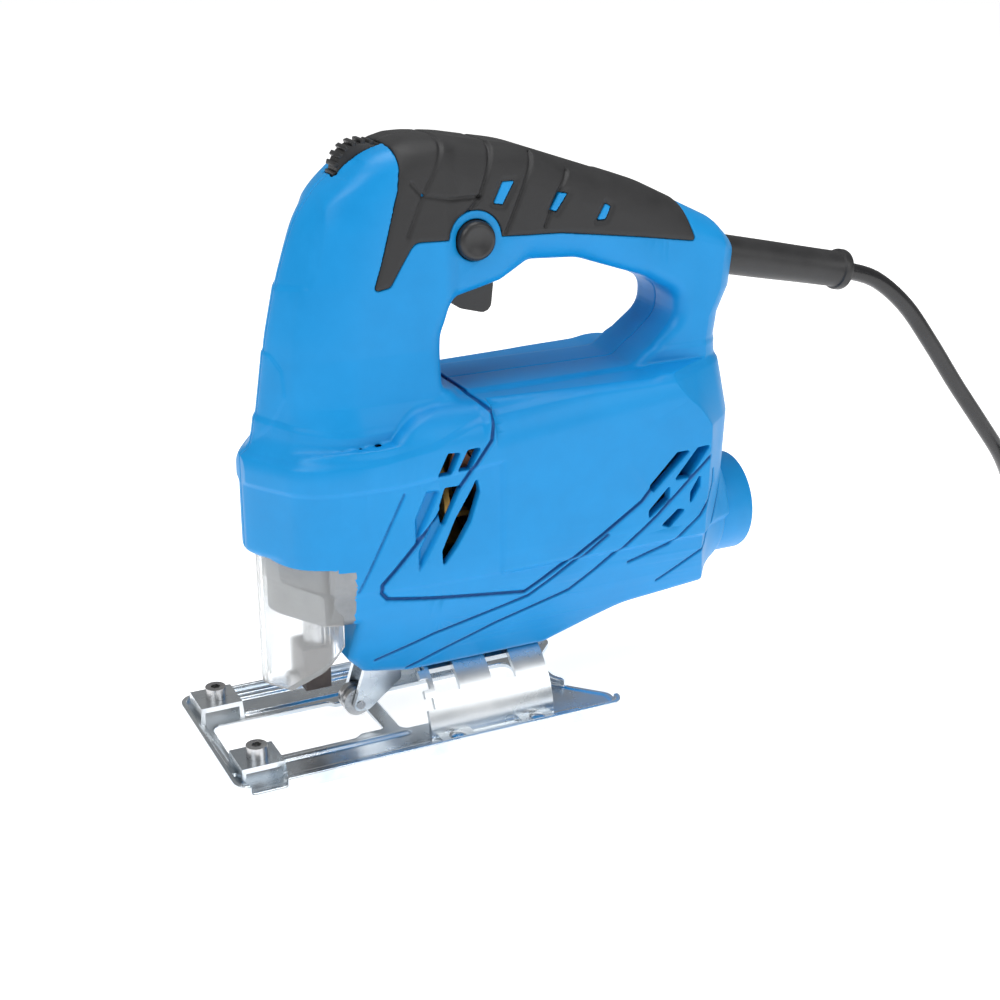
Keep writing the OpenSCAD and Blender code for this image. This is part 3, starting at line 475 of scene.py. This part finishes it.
# The grips' area, its windows and the ring around the lock button, seen from the side.
grip_points = [
    (24, 206, 0), (26, 198.5, 4), (26.7, 192.5, 8), (25.5, 185, 8), (23.4, 178, 8), (20.5, 167, 8),
    (16.5, 155, 1),
    (22.2, 156, 2), (30.4, 169, 4), (58, 168, 0), (82, 167, 30), (104, 164, 30), (133, 159.5, 1),
    (131.5, 165, 3), (129, 175, 6), (129, 206, 0),
]
windows = [
    [(61, 185), (65, 185), (61, 178), (58, 178.6)], [(81, 180), (84, 179.5), (80, 174), (78, 175)],
    [(98, 175), (100, 174), (98, 170), (95, 170)],
]
button_x, button_z = 51.5, 167.7
grip = area_distance(rounded_outline(grip_points))
grip = np.maximum(grip, 9.2 - np.hypot(grid_x - button_x, grid_z - button_z))
for window in windows:
    grip = np.maximum(grip, -area_distance(window))
grip_skin = 1.6


def rod_y(x, z, r):
    """Distance to a long round rod across the tool."""
    return (np.hypot(grid_x - x, grid_z - z) - r)[:, None, :]


def box(x0, x1, half, z0, z1):
    """Distance to a block that is centred on the middle plane."""
    flat = np.maximum(np.maximum(x0 - grid_x, grid_x - x1), np.maximum(z0 - grid_z, grid_z - z1))
    return np.maximum(flat[:, None, :], half_y - half)


def rod_x(z, r):
    """Distance to a long round rod along the tool."""
    return np.hypot(half_y, (axis_z - z)[None, None, :]) - r


# Places of the screws that hold the halves, x and z.
screw_spots = [(29.5, 147), (93, 171), (143, 110.5), (123, 40), (20, 40), (44.5, 189)]
posts = np.min([np.hypot(grid_x - x, grid_z - z) - 4.4 for x, z in screw_spots], axis=0)
ribs = np.minimum(box(62, 66, 40, 20, 119), box(88, 92, 40, 20, 119))
ribs = np.minimum(ribs, box(124, 135, 40, 66, 94))
ribs = np.minimum(ribs, box(33, 63, 14, 20, 32))
ribs = np.minimum(ribs, posts[:, None, :])
stator_seat = np.maximum(rod_x(80, 27.05), (np.abs(grid_x - 78) - 18.5)[:, None, :])
bearing_seat = np.maximum(rod_x(80, 11), (np.abs(grid_x - 129.5) - 3.5)[:, None, :])
shaft_way = rod_x(80, 9)
ribs = np.maximum(ribs, -np.minimum(np.minimum(stator_seat, bearing_seat), shaft_way))
hollow = np.maximum(body + skin, -ribs)
shell = np.maximum(outer, -hollow)
recess = np.maximum(grip[:, None, :], -(body + grip_skin))
shell = np.maximum(shell, -recess)
shell = np.maximum(shell, -np.maximum(vents[:, None, :], 15 - half_y))
slot = np.maximum(np.maximum(wedge + skin, body + skin), -(wedge + 5.6))
slot = np.maximum(slot, np.maximum(grid_x - 4.5, np.abs(grid_z - 86) - 17)[:, None, :])
shell = np.maximum(shell, -slot)
saddle = np.maximum(rod_x(0, 27.3), (29 - grid_x)[:, None, :])
port_way = np.maximum(rod_x(58, 18.05), (143 - grid_x)[:, None, :])
sleeve_tilt = math.radians(11.9)
sleeve_x = (grid_x - 156) * math.cos(sleeve_tilt) - (grid_z - 149.5) * math.sin(sleeve_tilt)
sleeve_z = (grid_x - 156) * math.sin(sleeve_tilt) + (grid_z - 149.5) * math.cos(sleeve_tilt)
sleeve_way = np.maximum(np.hypot(sleeve_z[:, None, :], half_y) - 6.9, (np.abs(sleeve_x) - 12)[:, None, :])
dial_way = np.maximum(rod_y(20.3, 189, 10.6), half_y - 4.6)
rod_way = np.hypot(grid_x[:, None, :], half_y) - 5
rod_way = np.maximum(rod_way, (grid_z - 60)[:, None, :])
clamp_screw_way = np.hypot((np.abs(grid_x - 49) - 10.5)[:, None, :], half_y) - 2.6
clamp_screw_way = np.maximum(clamp_screw_way, (grid_z - 50)[:, None, :])
for way in (saddle, port_way, sleeve_way, dial_way, rod_way, clamp_screw_way,
            box(-5, 30, 7, 20, 47), box(40.5, 64, 8.5, 142, 160)):
    shell = np.maximum(shell, -way)
# The halves meet on the middle plane, each with a fine bevel at the joint.
meet = (axis_y + 0.03)[None, :, None]
shell = np.maximum(np.maximum(shell, meet), (outer + meet) * 0.7071 + 0.22).astype(np.float32)
del stator_seat, bearing_seat, hollow, recess, slot, ribs


def sample(field, p):
    """The field between its grid points, at points given in grid steps."""
    last = np.array(field.shape) - 1
    p = np.clip(p, 0, last)
    i = np.minimum(p.astype(int), np.maximum(last - 1, 0))
    f = p - i
    up = np.minimum(last, 1)
    out = 0
    for a in (0, 1):
        for b in (0, 1):
            for c in (0, 1):
                share = (f[:, 0] if a else 1 - f[:, 0]) * (f[:, 1] if b else 1 - f[:, 1])
                share = share * (f[:, 2] if c else 1 - f[:, 2])
                out = out + share * field[i[:, 0] + a * up[0], i[:, 1] + b * up[1], i[:, 2] + c * up[2]]
    return out


def surface(field):
    """Corner points, in grid steps, and quads of the surface where the field is zero."""
    inside = field < 0
    shape = np.array(field.shape)
    cells, places, quads = [], [], []
    for axis in range(3):
        low = [slice(None)] * 3
        high = [slice(None)] * 3
        low[axis], high[axis] = slice(0, -1), slice(1, None)
        at = np.argwhere(inside[tuple(low)] != inside[tuple(high)])
        after = at.copy()
        after[:, axis] += 1
        f0, f1 = field[tuple(at.T)], field[tuple(after.T)]
        place = at.astype(float)
        place[:, axis] += f0 / (f0 - f1)
        u, v = (axis + 1) % 3, (axis + 2) % 3
        ring = []
        for a, b in ((0, 0), (1, 0), (1, 1), (0, 1)):
            cell = at.copy()
            cell[:, u] -= a
            cell[:, v] -= b
            cells.append(cell)
            places.append(place)
            ring.append(np.ravel_multi_index(tuple(cell.T), shape))
        ring = np.stack(ring, 1)
        quads.append(np.where((f0 < 0)[:, None], ring, ring[:, ::-1]))
    cells, places, quads = np.concatenate(cells), np.concatenate(places), np.concatenate(quads)
    ids, which = np.unique(np.ravel_multi_index(tuple(cells.T), shape), return_inverse=True)
    count = np.bincount(which)
    points = np.stack([np.bincount(which, places[:, k]) / count for k in range(3)], 1)
    return points, np.searchsorted(ids, quads)


grid_start = np.array((axis_x[0], axis_y[0], axis_z[0]), float)


def moulding(name, field, shade_map, most, mirrored=False, start=None, pitch=None):
    """A piece from a field: meshed, thinned to a number of faces, and shaded by the field's slope.

    The side view depth map given for painted shade is kept as a point attribute, which the material uses to
    darken the colour in grooves.
    """
    start, pitch = (grid_start, step) if start is None else (start, pitch)
    points, quads = surface(field)
    mesh = bpy.data.meshes.new(name)
    mesh.from_pydata((points * pitch + start).tolist(), [], quads.tolist())
    piece = bpy.data.objects.new(name, mesh)
    bpy.context.collection.objects.link(piece)
    if 2 * len(quads) > most:
        thin = piece.modifiers.new("thin", "DECIMATE")
        thin.ratio = most / (2 * len(quads))
        graph = bpy.context.evaluated_depsgraph_get()
        thinned = bpy.data.meshes.new_from_object(piece.evaluated_get(graph))
        piece.modifiers.clear()
        piece.data = thinned
        bpy.data.meshes.remove(mesh)
        thinned.name = name
        mesh = thinned
    co = np.empty(len(mesh.vertices) * 3)
    mesh.vertices.foreach_get("co", co)
    co = co.reshape(-1, 3)
    at = (co - start) / pitch
    normal = np.stack([sample(field, at + d) - sample(field, at - d) for d in np.eye(3) * 0.9], 1)
    normal /= np.maximum(np.linalg.norm(normal, axis=1), 1e-9)[:, None]
    if mirrored:
        co[:, 1] *= -1
        normal[:, 1] *= -1
        mesh.flip_normals()
    groove_shade = mesh.attributes.new("groove_shade", "FLOAT", "POINT")
    flat = shade_map[:, None, :]
    depth = sample(flat, at * np.array((1, 0, 1)))
    groove_shade.data.foreach_set("value", np.clip(depth, 0, 1))
    mesh.vertices.foreach_set("co", (co * mm).ravel())
    mesh.polygons.foreach_set("use_smooth", np.ones(len(mesh.polygons), bool))
    mesh.update()
    mesh.normals_split_custom_set_from_vertices(normal.tolist())
    return piece


button_way = np.maximum(rod_y(button_x, button_z, 6.6), 3 - half_y)
housing_left = moulding("shell_left", np.maximum(shell, -button_way), -lines, 190000)
screw_way = np.min([np.hypot(grid_x - x, grid_z - z) for x, z in screw_spots], axis=0)[:, None, :]
bores = np.minimum(screw_way - 1.9, np.maximum(screw_way - 3.8, 10 - half_y))
housing_right = moulding("shell_right", np.maximum(shell, -bores), -lines, 190000, mirrored=True)
blue_nylon, tree, shader = new_material("blue_nylon")
grain = noise_node(tree, 55, 4.0, 0.6)
blue = ramp_node(tree, grain, [(0.3, (0.003, 0.245, 0.590)), (0.7, (0.005, 0.272, 0.645))])
# Painted shade: the blue is multiplied darker where the side view's grooves and louvres lie.
groove_shade = tree.nodes.new("ShaderNodeAttribute")
groove_shade.attribute_name = "groove_shade"
shade = ramp_node(tree, groove_shade.outputs["Fac"], [(0.15, (1, 1, 1)), (0.75, (0.10, 0.28, 0.42))])
darken = tree.nodes.new("ShaderNodeMix")
darken.data_type = "RGBA"
darken.blend_type = "MULTIPLY"
darken.inputs[0].default_value = 1.0
tree.links.new(blue, darken.inputs[6])
tree.links.new(shade, darken.inputs[7])
tree.links.new(darken.outputs[2], shader.inputs["Base Color"])
tree.links.new(range_node(tree, grain, 0.36, 0.44, 0.3, 0.7), shader.inputs["Roughness"])
shader.inputs["Specular IOR Level"].default_value = 0.3
bump(tree, shader, noise_node(tree, 2600, 2.0), 0.08, 0.0001)
bare_alloy = finish(
    "bare_alloy", (0.20, 0.21, 0.22), (0.30, 0.31, 0.32), 90, (0.38, 0.5), (500, 0.3), metallic=0.9
)
for piece, node in ((housing_left, "housing_left"), (housing_right, "housing_right")):
    piece.data.materials.append(blue_nylon)
    piece.data.materials.append(bare_alloy)
    # The block that carries the plunger's bush, behind the guard, is bare alloy.
    middle = np.empty(len(piece.data.polygons) * 3)
    piece.data.polygons.foreach_get("center", middle)
    middle = middle.reshape(-1, 3) / mm
    behind = (middle[:, 2] < lip_z - 0.8) & (middle[:, 0] < 4.6) & (middle[:, 2] > 48)
    piece.data.polygons.foreach_set("material_index", behind.astype(np.int32))
    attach(piece, "tool_body")
    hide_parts(node)

# ---------------------------------------------------------------- handle grips
# Soft black rubber moulded over each half of the handle, down the front of the trigger and round
# the lock button. It stands a little proud of the nylon, and curved lines part it into pads.
pad_lines = [
    [(42, 199), (38.7, 192), (33.6, 183), (28.4, 171)], [(59, 196), (56, 189), (53, 181), (48.5, 176)],
    [(73, 192), (69, 185), (64, 173), (62, 169)], [(85, 186), (81, 181), (76, 170)],
    [(30, 187), (33.6, 183), (44, 181), (53, 181)],
]
pads = sum(groove(line, 1.4, 0.8) for line in pad_lines)
window_rim = np.min([area_distance(window) for window in windows], axis=0)
pads += -0.4 * (1 - ease(np.abs(window_rim - 0.9), 0.2, 0.9 + step * 0.4))
swell = 0.35 * ease(-grip, 0.0, 1.6)
rubber = np.maximum(body - (0.1 + swell + pads)[:, None, :], -(body + grip_skin - 0.06))
rubber = np.maximum(rubber, (grip + 0.12)[:, None, :])
rubber = np.maximum(rubber, -box(-20, 26, 4.6, 178, 200)).astype(np.float32)
grip_left = moulding("grip_left_skin", np.maximum(rubber, meet), 0 * grid_x, 60000)
grip_bores = np.maximum(screw_way - 3.8, 10 - half_y)
right_rubber = np.maximum(np.maximum(rubber, meet), -grip_bores)
grip_right = moulding("grip_right_skin", right_rubber, 0 * grid_x, 60000, mirrored=True)
soft_rubber, tree, shader = new_material("soft_rubber")
grain = noise_node(tree, 120, 5.0, 0.65)
tree.links.new(
    ramp_node(tree, grain, [(0.3, (0.012, 0.012, 0.013)), (0.7, (0.021, 0.021, 0.022))]),
    shader.inputs["Base Color"],
)
tree.links.new(range_node(tree, grain, 0.55, 0.68, 0.3, 0.7), shader.inputs["Roughness"])
bump(tree, shader, noise_node(tree, 3500, 2.0), 0.25, 0.0001)
for piece, node in ((grip_left, "grip_left"), (grip_right, "grip_right")):
    piece.data.materials.append(soft_rubber)
    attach(piece, "tool_body")
    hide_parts(node)

# ---------------------------------------------------------------- dust port
# A short tube of the same blue nylon, held between the halves, with a rounded rim for a hose end.
def turned(name, profile, start, toward, sides=72, ring=False):
    """A turned piece: the (radius, distance) profile spun round the line from start toward a point.

    A ring's profile closes on itself; any other starts and ends on the axis.
    """
    turn = Vector(toward).to_track_quat("Z", "Y").to_matrix().to_4x4()
    place = Matrix.Translation(Vector(start)) @ turn
    mesh = bmesh.new()
    rows = []
    for radius, along in profile:
        count = sides if radius > 0 else 1
        rows.append([
            mesh.verts.new(place @ Vector((radius * math.cos(2 * math.pi * k / count),
                                           radius * math.sin(2 * math.pi * k / count), along)) * mm)
            for k in range(count)
        ])
    pairs = list(zip(rows, rows[1:])) + ([(rows[-1], rows[0])] if ring else [])
    for low, high in pairs:
        for k in range(sides):
            n = (k + 1) % sides
            corners = [low[k % len(low)], low[n % len(low)], high[n % len(high)], high[k % len(high)]]
            mesh.faces.new(dict.fromkeys(corners))
    bmesh.ops.recalc_face_normals(mesh, faces=mesh.faces)
    return as_object(name, mesh)


def as_object(name, mesh, sharp=35):
    """The object for a finished bmesh, smooth but for its sharp edges."""
    data = bpy.data.meshes.new(name)
    mesh.to_mesh(data)
    mesh.free()
    data.polygons.foreach_set("use_smooth", np.ones(len(data.polygons), bool))
    data.set_sharp_from_angle(angle=math.radians(sharp))
    piece = bpy.data.objects.new(name, data)
    bpy.context.collection.objects.link(piece)
    return piece


def hand_over(piece, material, body, slot, *replaced):
    """Gives a piece its material and its body, and hides the CAD nodes that it stands for. The slot is not
    used.
    """
    piece.data.materials.clear()
    piece.data.materials.append(material)
    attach(piece, body)
    if replaced:
        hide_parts(*replaced)


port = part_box("dust_port")
port_low, port_high = port[0][0] / mm, port[1][0] / mm
port_z = (port[0][2] + port[1][2]) / 2 / mm
port_r = (port[1][2] - port[0][2]) / 2 / mm
bore_r = port_r - 2
dust_tube = turned("dust_tube", [
    (port_r, port_low), (port_r, port_high - 1.2), (port_r - 0.35, port_high - 0.35), (port_r - 0.9, port_high),
    (bore_r + 0.5, port_high), (bore_r, port_high - 0.5), (bore_r, port_low),
], (0, 0, port_z), (1, 0, 0), sides=96, ring=True)
hand_over(dust_tube, blue_nylon, "tool_body", "housing", "dust_port")

# ---------------------------------------------------------------- cord sleeve
# The moulded PVC strain relief grips the cord inside the handle's tail and tapers a little to a
# collar at its end.
sleeve_axis = (math.cos(sleeve_tilt), 0, -math.sin(sleeve_tilt))
cord_sleeve = turned("cord_sleeve", [
    (3.2, -12), (7.2, -12), (7.2, -9), (6.8, -8.6), (6.8, 0), (6.7, 16), (6.5, 32), (6.4, 46.5), (6.6, 47.2),
    (7.2, 47.6), (7.35, 48.2), (7.35, 50), (7.1, 50.7), (6.5, 51), (3.5, 51), (3.2, 50.7),
], (156, 0, 149.5), sleeve_axis, sides=64, ring=True)
sleeve_pvc = finish("sleeve_pvc", (0.012, 0.012, 0.013), (0.024, 0.024, 0.025), 90, (0.38, 0.5), (2200, 0.15))
hand_over(cord_sleeve, sleeve_pvc, "tool_body", "rubber", "strain_relief")

# ---------------------------------------------------------------- lock button, trigger and dial
# Hard black nylon. The lock button has a dished face; the speed dial is a thumb wheel with ridges.
button_plastic = finish(
    "button_plastic", (0.013, 0.013, 0.014), (0.022, 0.022, 0.023), 160, (0.36, 0.46), (3000, 0.12)
)
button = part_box("lock_button")
button_face, button_root = -button[0][1] / mm, -button[1][1] / mm
button_r = (button[1][0] - button[0][0]) / 2 / mm
lock_cap = turned("lock_cap", [
    (0, button_root), (4, button_root), (4, button_face - 12.2), (button_r, button_face - 11.9),
    (button_r, button_face - 1.6), (button_r - 0.25, button_face - 0.9), (button_r - 0.9, button_face - 0.25),
    (button_r - 1.5, button_face), (button_r - 2.1, button_face - 0.1), (2.4, button_face - 0.75),
    (0, button_face - 0.95),
], (button_x, 0, button_z), (0, -1, 0), sides=64)
hand_over(lock_cap, button_plastic, "lock_button", "black_plastic", "lock_button")
paint("trigger", button_plastic)


def repeat_tree():
    """A node group that puts a unit on each point of the mesh, turned to the point's own turn."""
    tree = bpy.data.node_groups.new("repeat", "GeometryNodeTree")
    face = tree.interface
    face.new_socket("Geometry", in_out="INPUT", socket_type="NodeSocketGeometry")
    face.new_socket("Unit", in_out="INPUT", socket_type="NodeSocketObject")
    face.new_socket("Material", in_out="INPUT", socket_type="NodeSocketMaterial")
    face.new_socket("Geometry", in_out="OUTPUT", socket_type="NodeSocketGeometry")
    give, take = tree.nodes.new("NodeGroupInput"), tree.nodes.new("NodeGroupOutput")
    unit = tree.nodes.new("GeometryNodeObjectInfo")
    turn = tree.nodes.new("GeometryNodeInputNamedAttribute")
    turn.data_type = "FLOAT_VECTOR"
    turn.inputs["Name"].default_value = "turn"
    spread = tree.nodes.new("GeometryNodeInstanceOnPoints")
    real = tree.nodes.new("GeometryNodeRealizeInstances")
    dress = tree.nodes.new("GeometryNodeSetMaterial")
    link = tree.links.new
    link(give.outputs["Unit"], unit.inputs["Object"])
    link(give.outputs["Geometry"], spread.inputs["Points"])
    link(unit.outputs["Geometry"], spread.inputs["Instance"])
    link(turn.outputs["Attribute"], spread.inputs["Rotation"])
    link(spread.outputs["Instances"], real.inputs["Geometry"])
    link(real.outputs["Geometry"], dress.inputs["Geometry"])
    link(give.outputs["Material"], dress.inputs["Material"])
    link(dress.outputs["Geometry"], take.inputs["Geometry"])
    return tree


repeat_group = repeat_tree()


def repeated(name, unit, places, material):
    """One plain mesh of a unit repeated at (place, turn) pairs; the unit itself is used up."""
    mesh = bpy.data.meshes.new(name)
    mesh.from_pydata([place for place, _ in places], [], [])
    turn = mesh.attributes.new("turn", "FLOAT_VECTOR", "POINT")
    turn.data.foreach_set("vector", [value for _, angles in places for value in angles])
    piece = bpy.data.objects.new(name, mesh)
    bpy.context.collection.objects.link(piece)
    spread = piece.modifiers.new("spread", "NODES")
    spread.node_group = repeat_group
    for item in repeat_group.interface.items_tree:
        if item.in_out == "INPUT" and item.name == "Unit":
            spread[item.identifier] = unit
        if item.in_out == "INPUT" and item.name == "Material":
            spread[item.identifier] = material
    graph = bpy.context.evaluated_depsgraph_get()
    solid = bpy.data.meshes.new_from_object(piece.evaluated_get(graph))
    solid.name = name
    piece.modifiers.clear()
    piece.data = solid
    bpy.data.objects.remove(unit)
    return piece


def join(name, pieces):
    """One object of several pieces that are one moulding."""
    mesh = bmesh.new()
    for piece in pieces:
        mesh.from_mesh(piece.data)
        bpy.data.objects.remove(piece)
    return as_object(name, mesh)


def block(name, low, high, bevel=0.0):
    """A block in millimetres, with its edges rounded by the bevel."""
    mesh = bmesh.new()
    bmesh.ops.create_cube(mesh, size=1)
    middle, size = (Vector(low) + Vector(high)) / 2, Vector(high) - Vector(low)
    for vert in mesh.verts:
        vert.co = (middle + Vector(a * b for a, b in zip(vert.co, size))) * mm
    if bevel:
        bmesh.ops.bevel(mesh, geom=mesh.edges[:], offset=bevel * mm, segments=2, affect="EDGES", profile=0.5)
    return as_object(name, mesh)


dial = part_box("speed_dial")
dial_x, dial_z = (dial[0][0] + dial[1][0]) / 2 / mm, (dial[0][2] + dial[1][2]) / 2 / mm
dial_r = (dial[1][0] - dial[0][0]) / 2 / mm
wheel = turned("wheel", [
    (0, -8), (1.7, -8), (2, -7.6), (2, -4), (dial_r - 2, -4), (dial_r - 1.1, -3.6), (dial_r - 1.1, 3.6),
    (dial_r - 2, 4), (2, 4), (2, 7.6), (1.7, 8), (0, 8),
], (dial_x, 0, dial_z), (0, 1, 0), sides=64)
ridge = block("ridge", (dial_r - 2.2, -3.7, -0.8), (dial_r, 3.7, 0.8), 0.35)
ridge_count = 20
ridges = repeated("ridges", ridge, [
    ((dial_x * mm, 0, dial_z * mm), (0, 2 * math.pi * k / ridge_count, 0)) for k in range(ridge_count)
], button_plastic)
thumb_wheel = join("thumb_wheel", [wheel, ridges])
hand_over(thumb_wheel, button_plastic, "speed_dial", "black_plastic", "speed_dial")

# ---------------------------------------------------------------- screws and rivets
# Plated pan head screws with a cross recess hold the halves from the right; domed rivets hold the
# bracket's feet to the shoe; socket screws clamp the rip fence.
bright_screw = finish("bright_screw", (0.50, 0.51, 0.52), (0.66, 0.67, 0.68), 300, (0.2, 0.32), metallic=1.0)
head = turned("head", [
    (0, -12), (1.88, -12), (1.88, 10), (3.5, 10), (3.5, 11.2), (3.2, 11.9), (2.4, 12.3), (1.5, 12.4),
    (1.1, 11.2), (0, 11.0),
], (0, 0, 0), (0, 1, 0), sides=40)
case_screws = repeated("case_screws", head, [
    ((x * mm, 0, z * mm), (0, 0, 0)) for x, z in screw_spots
], bright_screw)
hand_over(case_screws, bright_screw, "tool_body", "steel", "housing_screws")
rivet_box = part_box("bracket_rivets")
rivet = turned("rivet", [
    (0, 0.3), (1.5, 0.3), (1.5, 2.0), (3.0, 2.0), (3.0, 2.5), (2.7, 3.1), (1.9, 3.5), (1.0, 3.68), (0, 3.7),
], (0, 0, 0), (0, 0, 1), sides=36)
rivet_y = (rivet_box[1][1] - rivet_box[0][1]) / 2 / mm - 3.0
foot_rivets = repeated("foot_rivets", rivet, [
    ((x * mm, y * mm, rivet_box[1][2] - 3.7 * mm), (0, 0, 0)) for x in (38, 68) for y in (-rivet_y, rivet_y)
], bright_screw)
hand_over(foot_rivets, bright_screw, "shoe", "steel", "bracket_rivets")

# ---------------------------------------------------------------- shoe and bevel bracket
# The shoe, its fence arches, the half round bevel bracket and the roller's fork are pressed from
# bright zinc plated sheet. The bracket is riveted on, and clamps to the saddle under the housing.
zinc, tree, shader = new_material("zinc")
cloud = noise_node(tree, 28, 5.0, 0.6)
tree.links.new(
    ramp_node(tree, cloud, [(0.3, (0.50, 0.57, 0.64)), (0.55, (0.72, 0.76, 0.79)), (0.75, (0.84, 0.86, 0.87))]),
    shader.inputs["Base Color"],
)
tree.links.new(range_node(tree, cloud, 0.18, 0.34, 0.3, 0.7), shader.inputs["Roughness"])
shader.inputs["Metallic"].default_value = 1.0
bump(tree, shader, noise_node(tree, 700, 3.0), 0.06, 0.0002)
# The shoe's field, in millimetres: a sheet with a turned up rim, beads pressed along both sides, a
# stepped front window, a window under the bracket and a scooped back edge.
shoe_step = 0.45
shoe_x = np.arange(-41, 101.5, shoe_step)
shoe_y = np.arange(-36, 36.5, shoe_step)
shoe_z = np.arange(-1, 8, shoe_step)
plan = np.meshgrid(shoe_x, shoe_y, indexing="ij")
sheet_t, rim_h, rim_t = 2.0, 5.0, 1.7
plate = area_distance(rounded_outline([
    (-40, -35, 6), (100, -35, 5), (100, -23, 4), (86, -8, 8), (86, 8, 8), (100, 23, 4), (100, 35, 5),
    (-40, 35, 6),
]), plan)
front_window = area_distance(rounded_outline([
    (-34, -14, 3), (8, -14, 3), (10, -12, 1), (18.5, -12, 1), (18.5, 12, 1), (10, 12, 1), (8, 14, 3),
    (-34, 14, 3),
]), plan)
back_window = area_distance(rounded_outline([(24, -15, 3), (78, -15, 3), (78, 15, 3), (24, 15, 3)]), plan)
rise = np.zeros(plan[0].shape)
for near in (-1, 1):
    for x0, x1, y in ((-20, 24, 18.2), (-20, 84, 29.6)):
        bead = line_distance([(x0, near * y), (x1, near * y)], plan)
        rise += 0.9 * (1 - ease(bead, 0.6, 2.0))
rise += 0.8 * (1 - ease(line_distance([(-37, -20), (-37, 20)], plan), 0.5, 1.6))
level = shoe_z[None, None, :] - rise[:, :, None]
slab = np.maximum(level - sheet_t, -level)
lip = np.maximum(plate, -(plate + rim_t))
edge = np.maximum(lip[:, :, None], np.maximum(shoe_z - rim_h, -shoe_z)[None, None, :])
low_back = np.maximum(88 - plan[0], np.abs(plan[1]) - 29)[:, :, None]
arch_gap = np.maximum(np.abs(plan[0] + 29.5) - 6, 32 - np.abs(plan[1]))[:, :, None]
for gap_area in (low_back, arch_gap):
    edge = np.maximum(edge, -np.maximum(gap_area, (sheet_t - shoe_z)[None, None, :]))
sheet = round_min(np.maximum(slab, plate[:, :, None]), edge, 1.2)
sheet = np.maximum(sheet, plate[:, :, None])
sheet = np.maximum(sheet, -np.minimum(front_window, back_window)[:, :, None])
sheet = np.maximum(sheet, -shoe_z[None, None, :])
for x in (38, 68):
    holes = np.hypot(plan[0] - x, np.abs(plan[1]) - rivet_y) - 1.55
    sheet = np.maximum(sheet, -holes[:, :, None])
shoe_plate = moulding("shoe_plate", sheet, 0 * sheet[:, 0, :], 150000,
                      start=np.array((-41.0, -36.0, -1.0)), pitch=shoe_step)
hand_over(shoe_plate, zinc, "shoe", "zinc", "shoe")
for name in ("fence_arches", "bevel_bracket", "clamp_plate", "roller_fork"):
    paint(name, zinc)

# ---------------------------------------------------------------- blade guard
# A clear polycarbonate shield slides up and down in front of the blade clamp, between the nose's
# sides. Its clear plastic is a little hazy from moulding.
clear, tree, shader = new_material("clear_polycarbonate")
haze = noise_node(tree, 70, 3.0)
tree.links.new(range_node(tree, haze, 0.10, 0.20, 0.3, 0.7), shader.inputs["Roughness"])
tint = ramp_node(tree, haze, [(0.3, (0.93, 0.95, 0.96)), (0.7, (0.97, 0.98, 0.98))])
tree.links.new(tint, shader.inputs["Base Color"])
shader.inputs["Transmission Weight"].default_value = 0.86
shader.inputs["IOR"].default_value = 1.5
paint("blade_guard", clear)

# ---------------------------------------------------------------- blade end and gear train
# The plunger runs in sintered bronze bushes held by a die cast case, and is driven by a crank gear
# of ground steel. The clamp at its lower end is blued, and the other small parts are bright steel.
steel = finish("turned_steel", (0.42, 0.42, 0.43), (0.60, 0.60, 0.60), 180, (0.22, 0.36), metallic=1.0)
blued = finish(
    "blued_steel", (0.045, 0.038, 0.036), (0.085, 0.07, 0.065), 140, (0.35, 0.5), (900, 0.2), metallic=0.7
)
cast = finish("cast_alloy", (0.42, 0.43, 0.44), (0.55, 0.56, 0.57), 90, (0.4, 0.55), (500, 0.3), metallic=1.0)
bronze = finish("bronze", (0.42, 0.25, 0.09), (0.55, 0.34, 0.14), 200, (0.3, 0.45), metallic=1.0)
for material, names in (
    (steel, ("plunger", "gear_axle", "crank_gear", "crank_pin", "pinion", "clamp_bolt", "clamp_screws",
             "fence_screws", "guide_roller", "roller_pin")),
    (blued, ("blade_clamp",)),
    (cast, ("gear_case", "yoke")),
    (bronze, ("lower_bush", "upper_bush")),
):
    for name in names:
        paint(name, material)

# ---------------------------------------------------------------- motor
# A universal motor: laminated iron with lacquered copper windings, a shaft in two ball bearings,
# carbon brushes in nylon holders, and a moulded fan at the front end.
lamination = finish("lamination", (0.10, 0.10, 0.11), (0.22, 0.22, 0.23), 40, (0.4, 0.55), metallic=0.9,
                    stretch=(60, 1, 1))
copper = finish(
    "copper_wire", (0.32, 0.10, 0.035), (0.52, 0.20, 0.08), 500, (0.25, 0.4), (1500, 0.5), metallic=0.9
)
carbon = finish("carbon", (0.02, 0.02, 0.02), (0.05, 0.05, 0.05), 900, (0.6, 0.75))
golden = finish("golden_fan", (0.30, 0.17, 0.035), (0.44, 0.27, 0.07), 120, (0.3, 0.45), metallic=0.6)
for material, names in (
    (lamination, ("stator_core", "rotor_core")),
    (copper, ("field_coils", "rotor_windings", "commutator")),
    (steel, ("motor_shaft", "front_bearing", "rear_bearing")),
    (carbon, ("carbon_brushes",)),
    (button_plastic, ("brush_holders",)),
    (golden, ("fan",)),
):
    for name in names:
        paint(name, material)

# ---------------------------------------------------------------- switch, board and cord clamp
# The trigger works a nylon switch in the handle, next to the speed dial's circuit board. A nylon
# bar clamps the cord inside the handle's tail.
board = finish("board", (0.006, 0.07, 0.025), (0.012, 0.12, 0.04), 300, (0.4, 0.5))
paint("speed_board", board)
paint("switch_body", button_plastic)
paint("cord_clamp", button_plastic)
